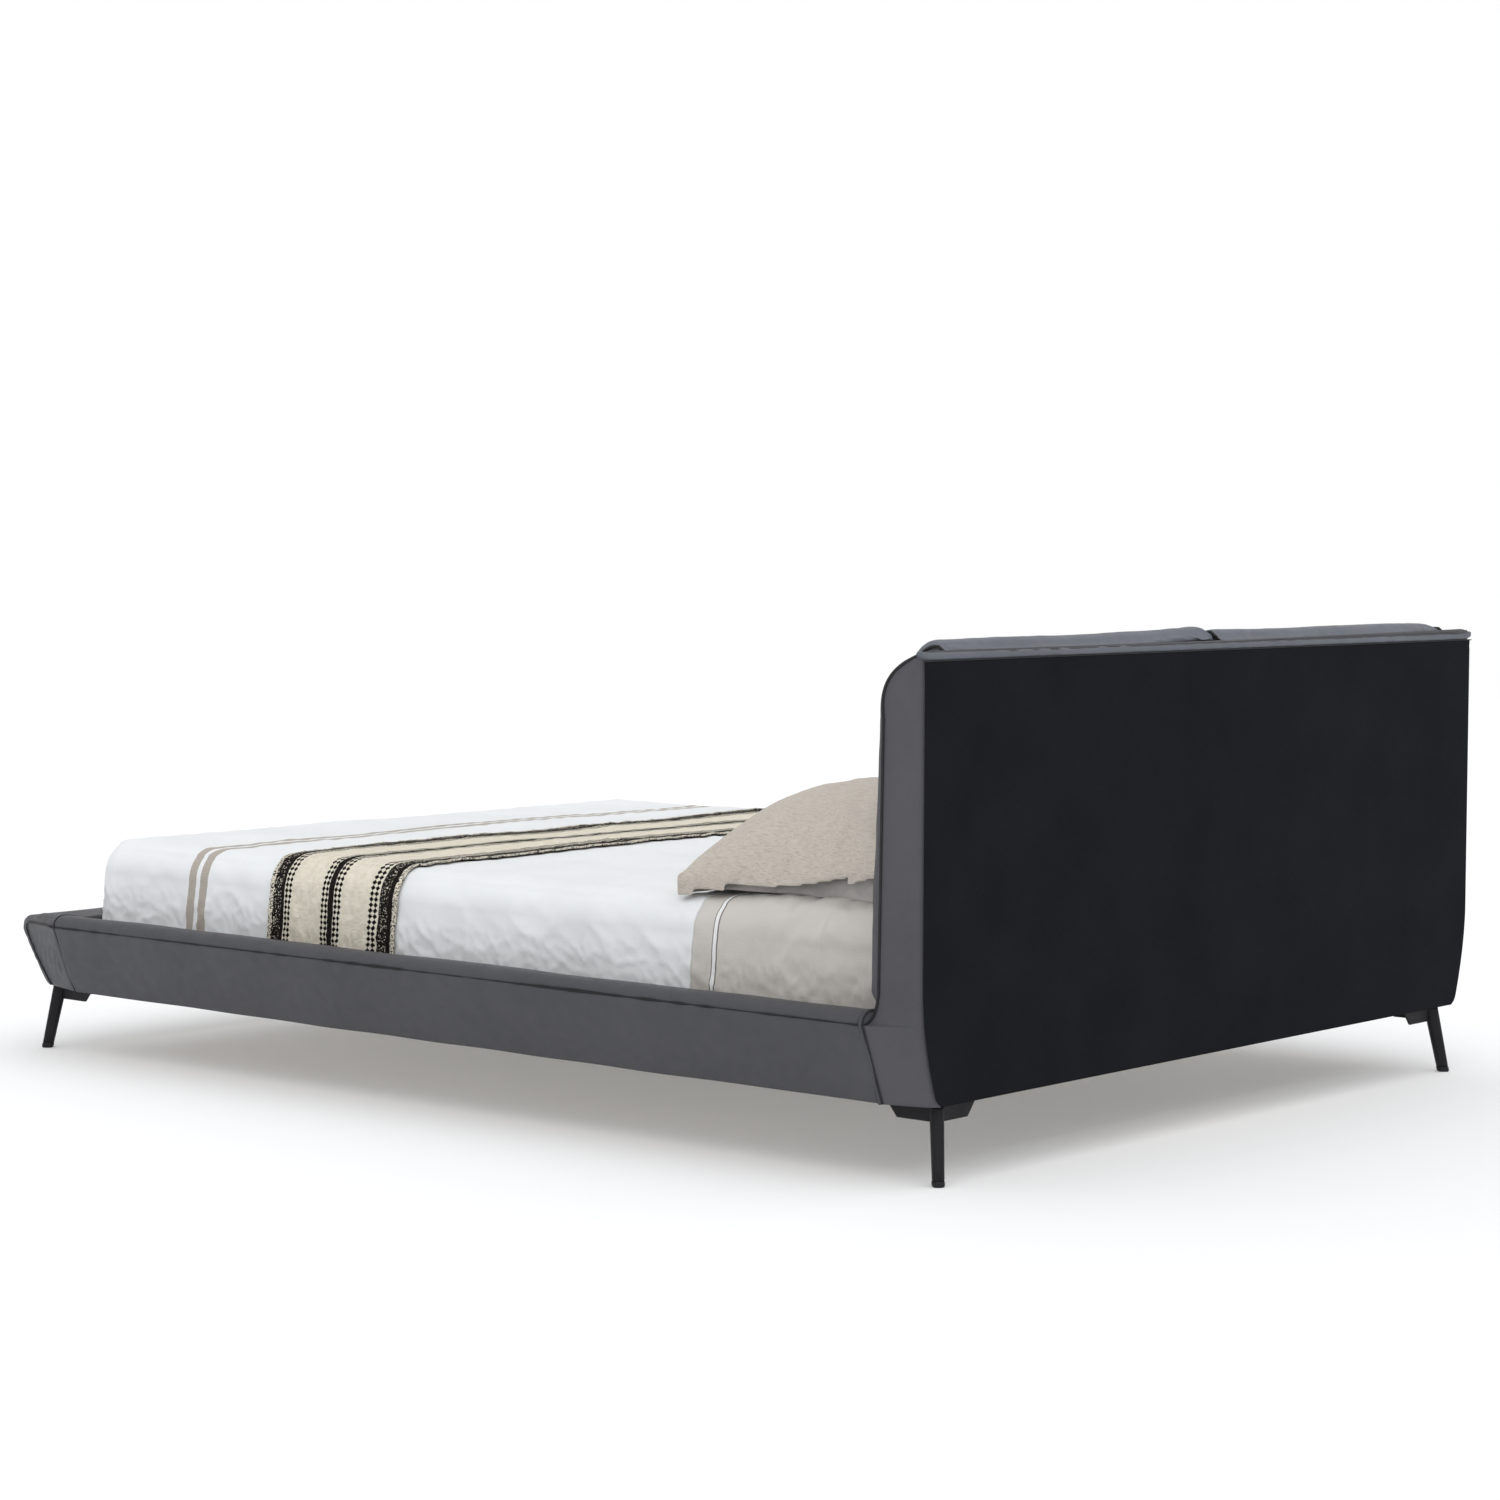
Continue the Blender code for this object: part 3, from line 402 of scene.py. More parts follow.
def rail_outline():
    """Side rail's section as (reach, z): panel, corded groove, roll, inner turn-down, and back
    round the board. The panel's bow is half a sine, 3 mm deep."""
    up = np.linspace(0, 1, 26)
    panel = np.stack([BASE + (FULL - BASE) * up + 0.003 * np.sin(np.pi * up), BASE_Z + 0.1285 * up], -1)
    groove = np.array([[FULL - 0.0010, 0.2586], [FULL - 0.0028, 0.2594], [FULL - 0.0032, 0.2602],
                       [FULL - 0.0026, 0.2610], [FULL - 0.0010, 0.2620]])
    reach = CREST + (FULL - 0.0006 - CREST) * np.cos(np.linspace(0.22, np.pi / 2, 14))
    outer = np.stack([reach, side_top(reach)], -1)
    reach = np.linspace(CREST - 0.003, 0.004, 24)
    inner = np.stack([reach, side_top(reach)], -1)
    return np.vstack([panel, groove, outer, inner, turned_in(0.0314)])


def carried(name, outline, stations, place, push):
    """A closed outline of (reach, z) carried along stations; push moves each point along the
    outline's normal, as an array of stations by points, and place gives the points in space."""
    normal = outward(outline)
    reach = outline[None, :, 0] + normal[None, :, 0] * push
    height = outline[None, :, 1] + normal[None, :, 1] * push
    return skin(name, np.stack(place(stations[:, None], reach, height), -1))


def tube(name, path, radius, sides=10, closed=False):
    """A round cord along a path: rings square to it, turned by the least twist."""
    path = np.asarray(path, float)
    ahead = (np.roll(path, -1, 0) - np.roll(path, 1, 0)) if closed else np.gradient(path, axis=0)
    ahead /= np.linalg.norm(ahead, axis=1)[:, None]
    start = np.cross(ahead[0], (0.31, 0.17, 0.93))
    frames = [start / np.linalg.norm(start)]
    for step in ahead[1:]:
        kept = frames[-1] - step * (frames[-1] @ step)
        frames.append(kept / np.linalg.norm(kept))
    u = np.array(frames)
    v = np.cross(ahead, u)
    turn = np.linspace(0, 2 * np.pi, sides, endpoint=False)
    ring = u[:, None] * np.cos(turn)[None, :, None] + v[:, None] * np.sin(turn)[None, :, None]
    return skin(name, path[:, None] + ring * np.asarray(radius).reshape(-1, 1, 1), along=closed)


def side_rail(side):
    name = SIDES[side]
    outline = rail_outline()
    low, high = RAIL_LOW.y, RAIL_HIGH.y
    end = np.array([0, 0.0004, 0.0012, 0.0028, 0.005, 0.009, 0.015])
    stations = np.concatenate([low + end, np.linspace(low + 0.022, high - 0.022, 230), (high - end)[::-1]])
    edge = np.minimum(stations - low, high - stations)[:, None]
    pull = -0.0022 * np.clip(1 - edge / 0.006, 0, 1) ** 2
    along, girth = stations[:, None], outline[None, :, 1] + outline[None, :, 0] * 0.4
    soft = np.clip((outline[None, :, 0] - 0.034) / 0.01, 0, 1)
    near_seam = np.exp(-((outline[None, :, 1] - 0.252) / 0.016) ** 2)
    pucker = 0.0007 * ripple(along, girth * 0.25, 0.045, 3 + side) * near_seam
    slow = 0.0009 * ripple(along * 0.5, girth, 0.16, 11 + side)
    made = carried("rail_cover_" + name, outline, stations,
                   lambda y, reach, z: (side * (ROOM + reach), y + 0 * reach, z),
                   pull * soft + (pucker + slow) * soft)
    made = fit(made, RAIL_LEATHER, FRAME, "leather", "side_rail_cover_" + name)
    y = np.linspace(low + 0.004, high - 0.003, 160)
    line = np.stack([side * (ROOM + FULL - 0.0018) + 0 * y, y, 0.2602 + 0 * y], -1)
    fit(tube("rail_seam_cord_" + name, line, 0.0013), CORD_LEATHER, FRAME, "leather")
    up = np.linspace(0, 1, 40)
    over = CREST + (FULL - CREST) * np.cos(np.linspace(0.3, 1.5, 12))
    reach = np.concatenate([BASE + (FULL - BASE) * up, over, np.linspace(CREST - 0.01, 0.0, 14)])
    z = np.concatenate([BASE_Z + 0.131 * up, side_top(reach[40:])])
    for label, where, out, radius, finish in (("head", high - 0.0008, 0.0, 0.0016, CORD_LEATHER),
                                              ("welt", high - 0.0044, 0.0010, 0.0028, RAIL_LEATHER),
                                              ("inner", high - 0.0082, 0.0, 0.0016, CORD_LEATHER),
                                              ("foot", low + 0.0004, -0.0005, 0.0016, CORD_LEATHER)):
        line = np.stack([side * (ROOM + reach + out), where + 0 * reach, z], -1)
        fit(tube(f"rail_{label}_seam_{name}", line, radius), finish, FRAME, "leather")


for side in SIDES:
    side_rail(side)


# --- Foot rail --------------------------------------------------------------------------------
# The foot unit is one padded roll across the bed. Its leather wraps the slanted face and the
# roll, and meets a sewn panel at each end that turns round the corner to the side rail.

FOOT_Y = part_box("foot_rail_core")[1].y
FOOT_BASE, FOOT_FULL, FOOT_CREST = 0.045, 0.099, 0.064
FOOT_SEAM, FOOT_TOP = 0.236, 0.2675
RETURN = 0.089
CORNER_ROUND = 0.013


def foot_top(reach):
    return roll_top(reach, FOOT_CREST, FOOT_TOP, FOOT_FULL, FOOT_SEAM, INNER_Z)


def foot_outline():
    """Foot rail's section as (reach, z), like the side rail's, with no cord in the roll."""
    up = np.linspace(0, 1, 26)
    panel = np.stack([FOOT_BASE + (FOOT_FULL - FOOT_BASE) * up + 0.003 * np.sin(np.pi * up),
                      BASE_Z + (FOOT_SEAM - BASE_Z) * up], -1)
    reach = FOOT_CREST + (FOOT_FULL - FOOT_CREST) * np.cos(np.linspace(0.1, np.pi / 2, 18))
    outer = np.stack([reach, foot_top(reach)], -1)
    reach = np.linspace(FOOT_CREST - 0.003, 0.004, 24)
    inner = np.stack([reach, foot_top(reach)], -1)
    return np.vstack([panel, outer, inner, turned_in(0.0304)])


def foot_rail():
    outline = foot_outline()
    stations = np.linspace(-ROOM + 0.0004, ROOM - 0.0004, 190)
    soft = np.clip((outline[None, :, 0] - 0.033) / 0.01, 0, 1)
    girth = outline[None, :, 1] + outline[None, :, 0] * 0.4
    push = 0.0010 * ripple(stations[:, None] * 0.5, girth, 0.15, 31) * soft
    made = carried("foot_cover", outline, stations,
                   lambda x, reach, z: (x + 0 * reach, FOOT_Y - reach, z), push)
    fit(made, RAIL_LEATHER, FRAME, "leather", "foot_rail_cover")


foot_rail()


def panel_reach(reach, z):
    """How far the corner's end panel stands out: the side rail's lean, less a taper that grows
    towards the foot and is a little stronger at the seam than at the bottom."""
    share = np.clip((z - BASE_Z) / 0.131, 0, 1)
    along = (reach + RETURN) / (FOOT_FULL + RETURN)
    return BASE + (FULL - BASE) * share - along * (0.051 + (0.068 - 0.051) * share)


def foot_line(z):
    """The foot rail's outermost reach at a height: its slanted face, then its roll."""
    slant = FOOT_BASE + (FOOT_FULL - FOOT_BASE) * (z - BASE_Z) / (FOOT_SEAM - BASE_Z)
    high = np.clip((z - FOOT_SEAM) / (FOOT_TOP - FOOT_SEAM), 0, 1)
    return np.where(z <= FOOT_SEAM, slant, FOOT_CREST + (FOOT_FULL - FOOT_CREST) * np.sqrt(1 - high ** 2))


def panel_face(reach, z):
    """The end panel with its foot edge turned by a quarter circle of radius CORNER_ROUND."""
    into = np.clip((reach - foot_line(z)) / CORNER_ROUND + 1, 0, 1)
    return panel_reach(reach, z) - CORNER_ROUND * (1 - np.sqrt(1 - 0.985 * into ** 2))


def corner_top(reach, across):
    """The side roll's top fades, over the corner, into the foot roll's: a smooth greater-of-two."""
    side_z = side_top(across) - 0.05 * np.clip(reach / 0.064, 0, 1.6) ** 2
    foot_z = np.where(reach > 0, foot_top(np.maximum(reach, 0)), 0.2)
    soft = 0.003
    return soft * np.log(np.exp(side_z / soft) + np.exp(foot_z / soft))


def foot_corner(side):
    """Rings across the bed, one to each reach: under the slanted face, up the end panel, over
    the round of its top edge, back along the roll, and down behind it."""
    name = SIDES[side]
    ease = 1 - np.cos(np.linspace(0, np.pi / 2, 34))
    start = -RETURN + np.array([0.0, 0.0008, 0.002, 0.005])
    reach = np.concatenate([start, np.linspace(-RETURN + 0.009, 0.0, 20)[:-1],
                            np.linspace(0, 0.068, 24)[:-1], FOOT_FULL - 0.0010 - 0.030 * ease[::-1]])[:, None]
    lean = np.clip((reach - FOOT_BASE) / (FOOT_FULL - FOOT_BASE), 0, 1)
    bottom = BASE_Z + (FOOT_SEAM - BASE_Z) * lean
    crown = corner_top(reach, panel_reach(reach, SEAM_Z))
    share = 0.965 - 0.165 * np.clip((reach - 0.050) / 0.030, 0, 1)
    rim = np.minimum(SEAM_Z - 0.004, bottom + (crown - bottom) * share)
    up = np.linspace(0, 1, 30)[None, :] ** 1.35
    z = bottom + (rim - bottom) * up
    soft = 0.0015 + 0.003 * np.sin(np.pi * up) - 0.003 * np.clip(1 - up / 0.06, 0, 1) ** 2
    fold = crease(z + reach * 0.8, (z - reach) * 0.25, 0.052, 51 + side, 3.0) - 0.3
    fold = fold + 0.5 * ripple(z + reach * 1.3, (z - reach) * 0.3, 0.022, 55 + side)
    inset = np.clip((reach + RETURN) / 0.03, 0, 1) * np.clip((FOOT_FULL - reach) / 0.03, 0, 1)
    face = np.stack([panel_face(reach, z) + soft + 0.0016 * fold * inset * np.sin(np.pi * up), z], -1)
    edge = face[:, -1:, 0]
    low = np.linspace(0, 1, 9)[None, :-1]
    under = np.stack([low * (face[:, :1, 0] - 0.001), bottom + 0 * low], -1)
    turn = np.linspace(0, np.pi / 2, 16)[None, 1:]
    across = edge * (0.62 + 0.38 * np.cos(turn))
    over = np.stack([across, rim + (corner_top(reach, across) - rim) * np.sin(turn)], -1)
    back = np.linspace(0.60, 0.0, 12)[None, :] * edge
    top = np.stack([back, corner_top(reach, back)], -1)
    down = np.linspace(0.96, 0.04, 8)[None, :]
    inner = np.stack([0 * down + 0 * reach, bottom + (corner_top(reach, 0 * down) - bottom) * down], -1)
    rings = np.concatenate([under, face, over, top, inner], 1)
    valley = np.clip(1 - (reach + RETURN) / 0.009, 0, 1) ** 2
    rings[..., 0] -= 0.0030 * valley * np.clip(rings[..., 0] / 0.03, 0, 1)
    rings[..., 1] -= 0.0030 * valley * np.clip((rings[..., 1] - 0.262) / 0.01, 0, 1)
    grid = np.stack([side * (ROOM + rings[..., 0]), FOOT_Y - reach + 0 * rings[..., 0], rings[..., 1]], -1)
    made = fit(skin("foot_corner_cover_" + name, grid), RAIL_LEATHER, FRAME, "leather", "foot_corner_" + name)
    slant = np.linspace(0, 1, 30)
    arc = np.linspace(0, np.pi / 2, 24)[1:]
    back = np.linspace(0.046, -RETURN + 0.010, 40)
    path = np.concatenate([
        np.stack([FOOT_BASE - 0.029 + (FOOT_FULL - FOOT_BASE) * slant, 0.1315 + 0.1045 * slant], -1),
        np.stack([0.050 + 0.020 * np.cos(arc), 0.236 + 0.0195 * np.sin(arc)], -1),
        np.stack([back, 0.2557 + 0.0045 * np.clip((0.06 - back) / 0.10, 0, 1)], -1)])
    out = panel_face(path[:, 0], np.minimum(path[:, 1], 0.2555)) + 0.0018
    out = out + 0.003 * np.sin(np.pi * np.clip((path[:, 1] - BASE_Z) / 0.127, 0, 1))
    seam = np.stack([side * (ROOM + out), FOOT_Y - path[:, 0], path[:, 1]], -1)
    fit(tube("foot_corner_piping_" + name, seam, 0.0026), CORD_LEATHER, FRAME, "leather")


for side in SIDES:
    foot_corner(side)


# --- Headboard --------------------------------------------------------------------------------
# Foam and leather over the ply: a plain panel, a padded rim each side that runs up and over the
# rounded top, and wings that wrap back to the frame. Black piping closes the wings' front seam.

BACK_HALF = ROOM + 0.054
RIM_HALF = ROOM - 0.012
ARC_Z, ARC_RADIUS, ARC_SETBACK = 0.7395, 0.112, 0.030
ARC_END = math.acos((ARC_SETBACK + 0.008) / ARC_RADIUS)


def back_half(z):
    """Half width of the back: straight, with lower corners that curve in by a power of height."""
    return BACK_HALF - 0.039 * np.clip(1 - (z - BASE_Z) / 0.190, 0, 1) ** 1.8


def wing_half(z):
    """Half width at the wing's front seam: it runs out to the rails over a quarter ellipse
    50 mm high, and then follows their lean down."""
    low = ROOM + BASE + (FULL - BASE) * (z - BASE_Z) / 0.131
    share = np.clip((z - SEAM_Z) / 0.050, 0, 1)
    high = BACK_HALF + (ROOM + FULL - BACK_HALF) * (1 - np.sqrt(1 - (1 - share) ** 2))
    return np.where(z <= SEAM_Z, low, high)


def head_levels():
    """(depth, z, normal's depth, normal's z, bulge) up the wing's seam and round the top arc,
    whose radius swells by 8.5 mm near its middle. The rim's bulge thins from 30 mm to 6 mm."""
    z = np.concatenate([np.linspace(BASE_Z, 0.259, 30), SEAM_Z + 0.06 * np.linspace(0, 1, 34) ** 1.6,
                        np.linspace(0.328, ARC_Z, 70)])
    depth = 0.089 - 0.007 * np.clip((z - 0.2995) / (ARC_Z - 0.2995), 0, 1)
    bulge = 0.030 * (0.5 - 0.5 * np.cos(np.pi * np.clip((z - 0.279) / 0.030, 0, 1)))
    bulge = bulge - 0.0375 * np.clip(z - 0.45, 0, None)
    straight = np.stack([depth, z, np.ones_like(z), 0 * z, bulge], -1)
    along = np.linspace(0, 1, 44)[1:]
    turn = ARC_END * along
    radius = ARC_RADIUS + 0.0085 * np.sin(np.pi * along ** 0.8) ** 2
    arc = np.stack([radius * np.cos(turn) - ARC_SETBACK, ARC_Z + radius * np.sin(turn),
                    np.cos(turn), np.sin(turn), 0.0187 - 0.0130 * along], -1)
    return np.vstack([straight, arc])


def headboard_cover():
    level = head_levels()
    depth, z, out_depth, out_z, bulge = (level[:, k:k + 1] for k in range(5))
    wing, back = wing_half(z), back_half(z)
    share = np.linspace(0, 1, 22)[None, :]
    plump = np.sin(np.pi * share ** 0.72) ** 0.8
    along = np.cumsum(np.hypot(np.gradient(level[:, 0]), np.gradient(level[:, 1])))[:, None]
    slack = 0.0012 * ripple(along, share * 0.03, 0.07, 71) * plump
    panel = np.where(out_z > 0, 0.003, 0.085 - depth)
    rise = (bulge + slack * np.clip(bulge / 0.02, 0, 1)) * plump + panel * share ** 6
    x = wing + (RIM_HALF - wing) * share
    right = np.stack([x, depth + out_depth * rise, z + out_z * rise], -1)
    left = right[:, ::-1] * np.array([-1, 1, 1])
    ease = np.sin(np.linspace(0, np.pi / 2, 26))[None, 1:]
    bow = (0.0022 + 0.0006 * ripple(z, ease * 0.09, 0.12, 73)) * np.sin(np.pi * ease)
    turned = np.clip((ease - 0.80) / 0.20, 0, 1)
    side_x = wing + (back - wing) * ease + bow - 0.012 * (1 - np.sqrt(1 - 0.98 * turned ** 2))
    side_depth = depth + (0.0023 - depth) * ease + 0 * wing
    wing_side = np.stack([side_x, side_depth, z + 0 * ease + 0 * wing], -1)
    room = np.where(z < 0.7795, 0.0573, 0.0024)
    half = ROOM + 0.0040
    flat = np.zeros_like(z)
    hollow = np.stack([np.hstack([flat + half, flat + half, flat - half, flat - half]),
                       np.hstack([flat + 0.0023, room, room, flat + 0.0023]), np.hstack([z] * 4)], -1)
    other = wing_side[:, ::-1] * np.array([-1, 1, 1])
    ring = np.concatenate([right, left, other[:, ::-1], hollow[:, ::-1], wing_side[:, ::-1]], 1)
    grid = np.stack([ring[..., 0], HEAD_Y - ring[..., 1], ring[..., 2]], -1)
    made = fit(skin("headboard_leather", grid), LIT_WING_LEATHER, FRAME, "leather", "headboard_cover")
    seam = level[level[:, 1] > 0.2605]
    for side in SIDES:
        line = np.stack([side * (wing_half(seam[:, 1]) + 0.0002), HEAD_Y - seam[:, 0] - 0.0004 * seam[:, 2],
                         seam[:, 1] + 0.0006 * seam[:, 3]], -1)
        fit(tube("headboard_piping_" + SIDES[side], line, 0.0027), CORD_LEATHER, FRAME, "leather")


# painted light: a copy of the rails' leather made a little lighter, because the upright wings catch more
# light than the rails' outward-leaning panels
LIT_WING_LEATHER = leather("lit_wing_leather", (0.074, 0.074, 0.086), 0.44)
headboard_cover()


def top_slope(x):
    """How far the back's top edge stands over its lower end at an x."""
    return 0.0050 * x / 1.7 - 0.0010


def oval(half_a, half_b, centre, count=20, power=2.6):
    """A closed superellipse outline round a centre."""
    turn = np.linspace(0, 2 * np.pi, count, endpoint=False)
    size = (np.abs(np.cos(turn)) ** power + np.abs(np.sin(turn)) ** power) ** (-1 / power)
    return centre + np.stack([half_a * np.cos(turn) * size, half_b * np.sin(turn) * size], -1)


BAND_Z, BAND_STITCH_Z = 0.8392, 0.8326


def top_band():
    """The leather's turned edge along the top of the back: a soft strip 12 mm high, which
    rises 5 mm from one end to the other and flares up and out a little at both."""
    half = BACK_HALF + 0.0090
    end = np.array([0.0, 0.001, 0.004])
    stations = np.concatenate([end - half, np.linspace(-half + 0.01, half - 0.01, 150), half - end[::-1]])
    outline = oval(0.0062, 0.0062, (0.0068, BAND_Z))
    near = np.clip(1 - (half - np.abs(stations)) / 0.006, 0, 1)[:, None] ** 2
    peak = np.clip(1 - (half - np.abs(stations)) / 0.030, 0, 1)[:, None] ** 2
    push = 0.0005 * ripple(stations[:, None], outline[None, :, 1], 0.06, 81) - 0.0030 * near

    def along_back(x, depth, z):
        return x + 0 * depth, HEAD_Y - depth, z + top_slope(x) + 0.0055 * peak

    made = carried("headboard_top_band", outline, stations, along_back, push)
    # painted light: a lighter, bluer copy of the headboard leather, standing for the light that falls on the
    # band's upward face
    turned = leather("top_band_lit_leather", (0.118, 0.128, 0.155), 0.44)
    fit(made, turned, FRAME, "leather")
    line = np.stack([stations, HEAD_Y - 0.0008 + 0 * stations, BAND_STITCH_Z + top_slope(stations)], -1)
    fit(tube("top_band_stitching", line[2:-2], 0.0009, sides=6), CORD_LEATHER, FRAME, "leather")


top_band()


# --- Back cloth -------------------------------------------------------------------------------
# Black spun dust cloth, cut to the headboard's back, its edges turned under and stapled to the
# frame. It is pulled flat, with a little slack at the lower corners.

def spun_cloth():
    """Black non-woven felt: matted fibres, faint drag lines and a dull sheen."""
    made, tree, shader, place = finish_of("black_spun_cloth", Specular_IOR_Level=0.10)
    long = add(tree, "ShaderNodeMapping", {"Vector": place, "Scale": (260.0, 260.0, 60.0)}).outputs[0]
    fibre = add(tree, "ShaderNodeTexNoise", {"Vector": long, "Scale": 3.0, "Detail": 4.0}).outputs[0]
    cloud = use(tree, MOTTLE, Vector=place, Size=0.16)
    base = blend(tree, cloud["Slow"], (0.0052, 0.0056, 0.0080, 1), (0.0080, 0.0085, 0.0115, 1))
    base = blend(tree, spread(tree, fibre, 0.5, 0.8, 0.0, 0.5), base, (0.016, 0.017, 0.021, 1))
    tree.links.new(base, shader.inputs["Base Color"])
    tree.links.new(spread(tree, fibre, 0.3, 0.7, 0.82, 0.95), shader.inputs["Roughness"])
    raise_surface(tree, shader, fibre, 0.0004)
    return made


def thicken(piece, thickness):
    """Cloth's own thickness, inward from its face."""
    solid = piece.modifiers.new("thickness", "SOLIDIFY")
    solid.thickness = thickness
    solid.offset = -1.0
    solid.use_even_offset = False
    return piece


CLOTH_LOW, CLOTH_HIGH, CLOTH_HEM = 0.1296, 0.8338, 0.8205


def back_cloth():
    up = np.linspace(0, 1, 110)[:, None]
    z = CLOTH_LOW + (CLOTH_HIGH - CLOTH_LOW) * up
    across = np.sin(np.linspace(-1, 1, 150) * np.pi / 2)[None, :]
    corner = 0.010 * np.clip(1 - (z - CLOTH_LOW) / 0.014, 0, 1) ** 2
    x = across * (back_half(z) - 0.0012 - corner)
    edge = np.minimum(1 - np.abs(across), 0.05) / 0.05 * np.clip(np.minimum(up, 1 - up) / 0.03, 0, 1)
    sag = 0.0006 * ripple(x, z, 0.30, 91) * edge + 0.0005 * crease(x + z, (x - z) * 0.3, 0.22, 93) * edge
    hem = 0.0006 * np.exp(-((z - CLOTH_HEM) / 0.0014) ** 2)
    depth = 0.0008 + sag * 0.6 + hem
    grid = np.stack([x, HEAD_Y - depth + 0 * x, z + top_slope(x) * up], -1)
    uv = np.stack([x, z + 0 * x], -1)
    cloth = thicken(skin("back_dust_cloth", grid, around=False, uv=uv, flip=True), 0.0007)
    fit(cloth, spun_cloth(), FRAME, "back_cloth", "headboard_back_cloth")


back_cloth()


# --- Head cushions ----------------------------------------------------------------------------
# Two loose leather cushions with feather-soft filling hang against the headboard and fold over
# its rounded top. Each is two panels joined by black piping round its ends.

SEAT = 0.0859
CUSHION_WRAP = math.radians(66.0)
CUSHION_RISE = 0.0460


def cushion_line():
    """(depth, z, normal's depth, normal's z, fullness) from the cushion's foot, up, and over."""
    up = np.linspace(0, 1, 44)
    z = 0.275 + (ARC_Z - 0.275) * up
    full = np.clip(up / 0.10, 0, 1) ** 0.5
    straight = np.stack([0 * up + SEAT, z, 1 + 0 * up, 0 * up, full], -1)
    over = np.linspace(0, 1, 22)[1:]
    turn = CUSHION_WRAP * over
    radius = SEAT + ARC_SETBACK
    full = np.sqrt(np.clip(1 - np.clip((over - 0.68) / 0.32, 0, 1) ** 2.4, 0, 1))
    arc = np.stack([radius * np.cos(turn) - ARC_SETBACK, ARC_Z + radius * np.sin(turn),
                    np.cos(turn), np.sin(turn), full], -1)
    return np.vstack([straight, arc])


def puff(piece, voxel, pressure, cap, hold=None, limit=None, frames=20):
    """Blow a closed skin up as cloth: remesh, press from inside with no gravity, keep each point
    within cap of where it began, hold the points that rest on something, then smooth once."""
    remesh = piece.modifiers.new("even_mesh", "REMESH")
    remesh.mode = "VOXEL"
    remesh.voxel_size = voxel
    scene = bpy.context.scene
    piece.data = bpy.data.meshes.new_from_object(piece.evaluated_get(bpy.context.evaluated_depsgraph_get()))
    piece.modifiers.clear()
    start = read_points(piece)
    if hold is not None:
        pinned = piece.vertex_groups.new(name="resting")
        pinned.add(np.nonzero(hold(start))[0].tolist(), 1.0, "REPLACE")
    cloth = piece.modifiers.new("blown", "CLOTH")
    cloth.settings.quality = 4
    cloth.settings.mass = 0.25
    cloth.settings.tension_stiffness = cloth.settings.compression_stiffness = 18
    cloth.settings.shear_stiffness = 8
    cloth.settings.bending_stiffness = 0.6
    cloth.settings.use_pressure = True
    cloth.settings.uniform_pressure_force = pressure
    cloth.settings.effector_weights.gravity = 0
    cloth.settings.shrink_min = -0.015
    if hold is not None:
        cloth.settings.vertex_group_mass = "resting"
    cloth.point_cache.frame_start, cloth.point_cache.frame_end = 1, frames
    for step in range(1, frames + 1):
        scene.frame_set(step)
    blown = piece.evaluated_get(bpy.context.evaluated_depsgraph_get())
    ended = np.zeros(len(blown.data.vertices) * 3)
    blown.data.vertices.foreach_get("co", ended)
    move = ended.reshape(-1, 3) - start
    far = np.linalg.norm(move, axis=1)[:, None] + 1e-9
    move *= cap * np.tanh(far / cap) / far
    placed = start + move
    if limit is not None:
        placed = limit(placed)
    piece.modifiers.clear()
    piece.vertex_groups.clear()
    piece.data.vertices.foreach_set("co", placed.ravel())
    piece.data.shade_smooth()
    smooth = piece.modifiers.new("smooth", "SUBSURF")
    smooth.levels = smooth.render_levels = 1
    scene.frame_set(1)
    return piece


def read_points(piece):
    points = np.zeros(len(piece.data.vertices) * 3)
    piece.data.vertices.foreach_get("co", points)
    return points.reshape(-1, 3)


def cushion_normal(points):
    """How far points stand off the face that the cushion lies against."""
    depth, z = HEAD_Y - points[:, 1], points[:, 2]
    round_ = np.hypot(depth + ARC_SETBACK, z - ARC_Z) - ARC_SETBACK - SEAT
    return np.where(z < ARC_Z, depth - SEAT, round_)


def cushion_tilt(side, x, z):
    """Over the top, the right cushion's inner end rides up and the left one's outer end sags."""
    ride = 0.0065 * np.exp(-(x / 0.13) ** 2) if side > 0 else -0.0030 * (x / RIM_HALF)
    return ride * np.clip((z - ARC_Z) / 0.08, 0, 1)


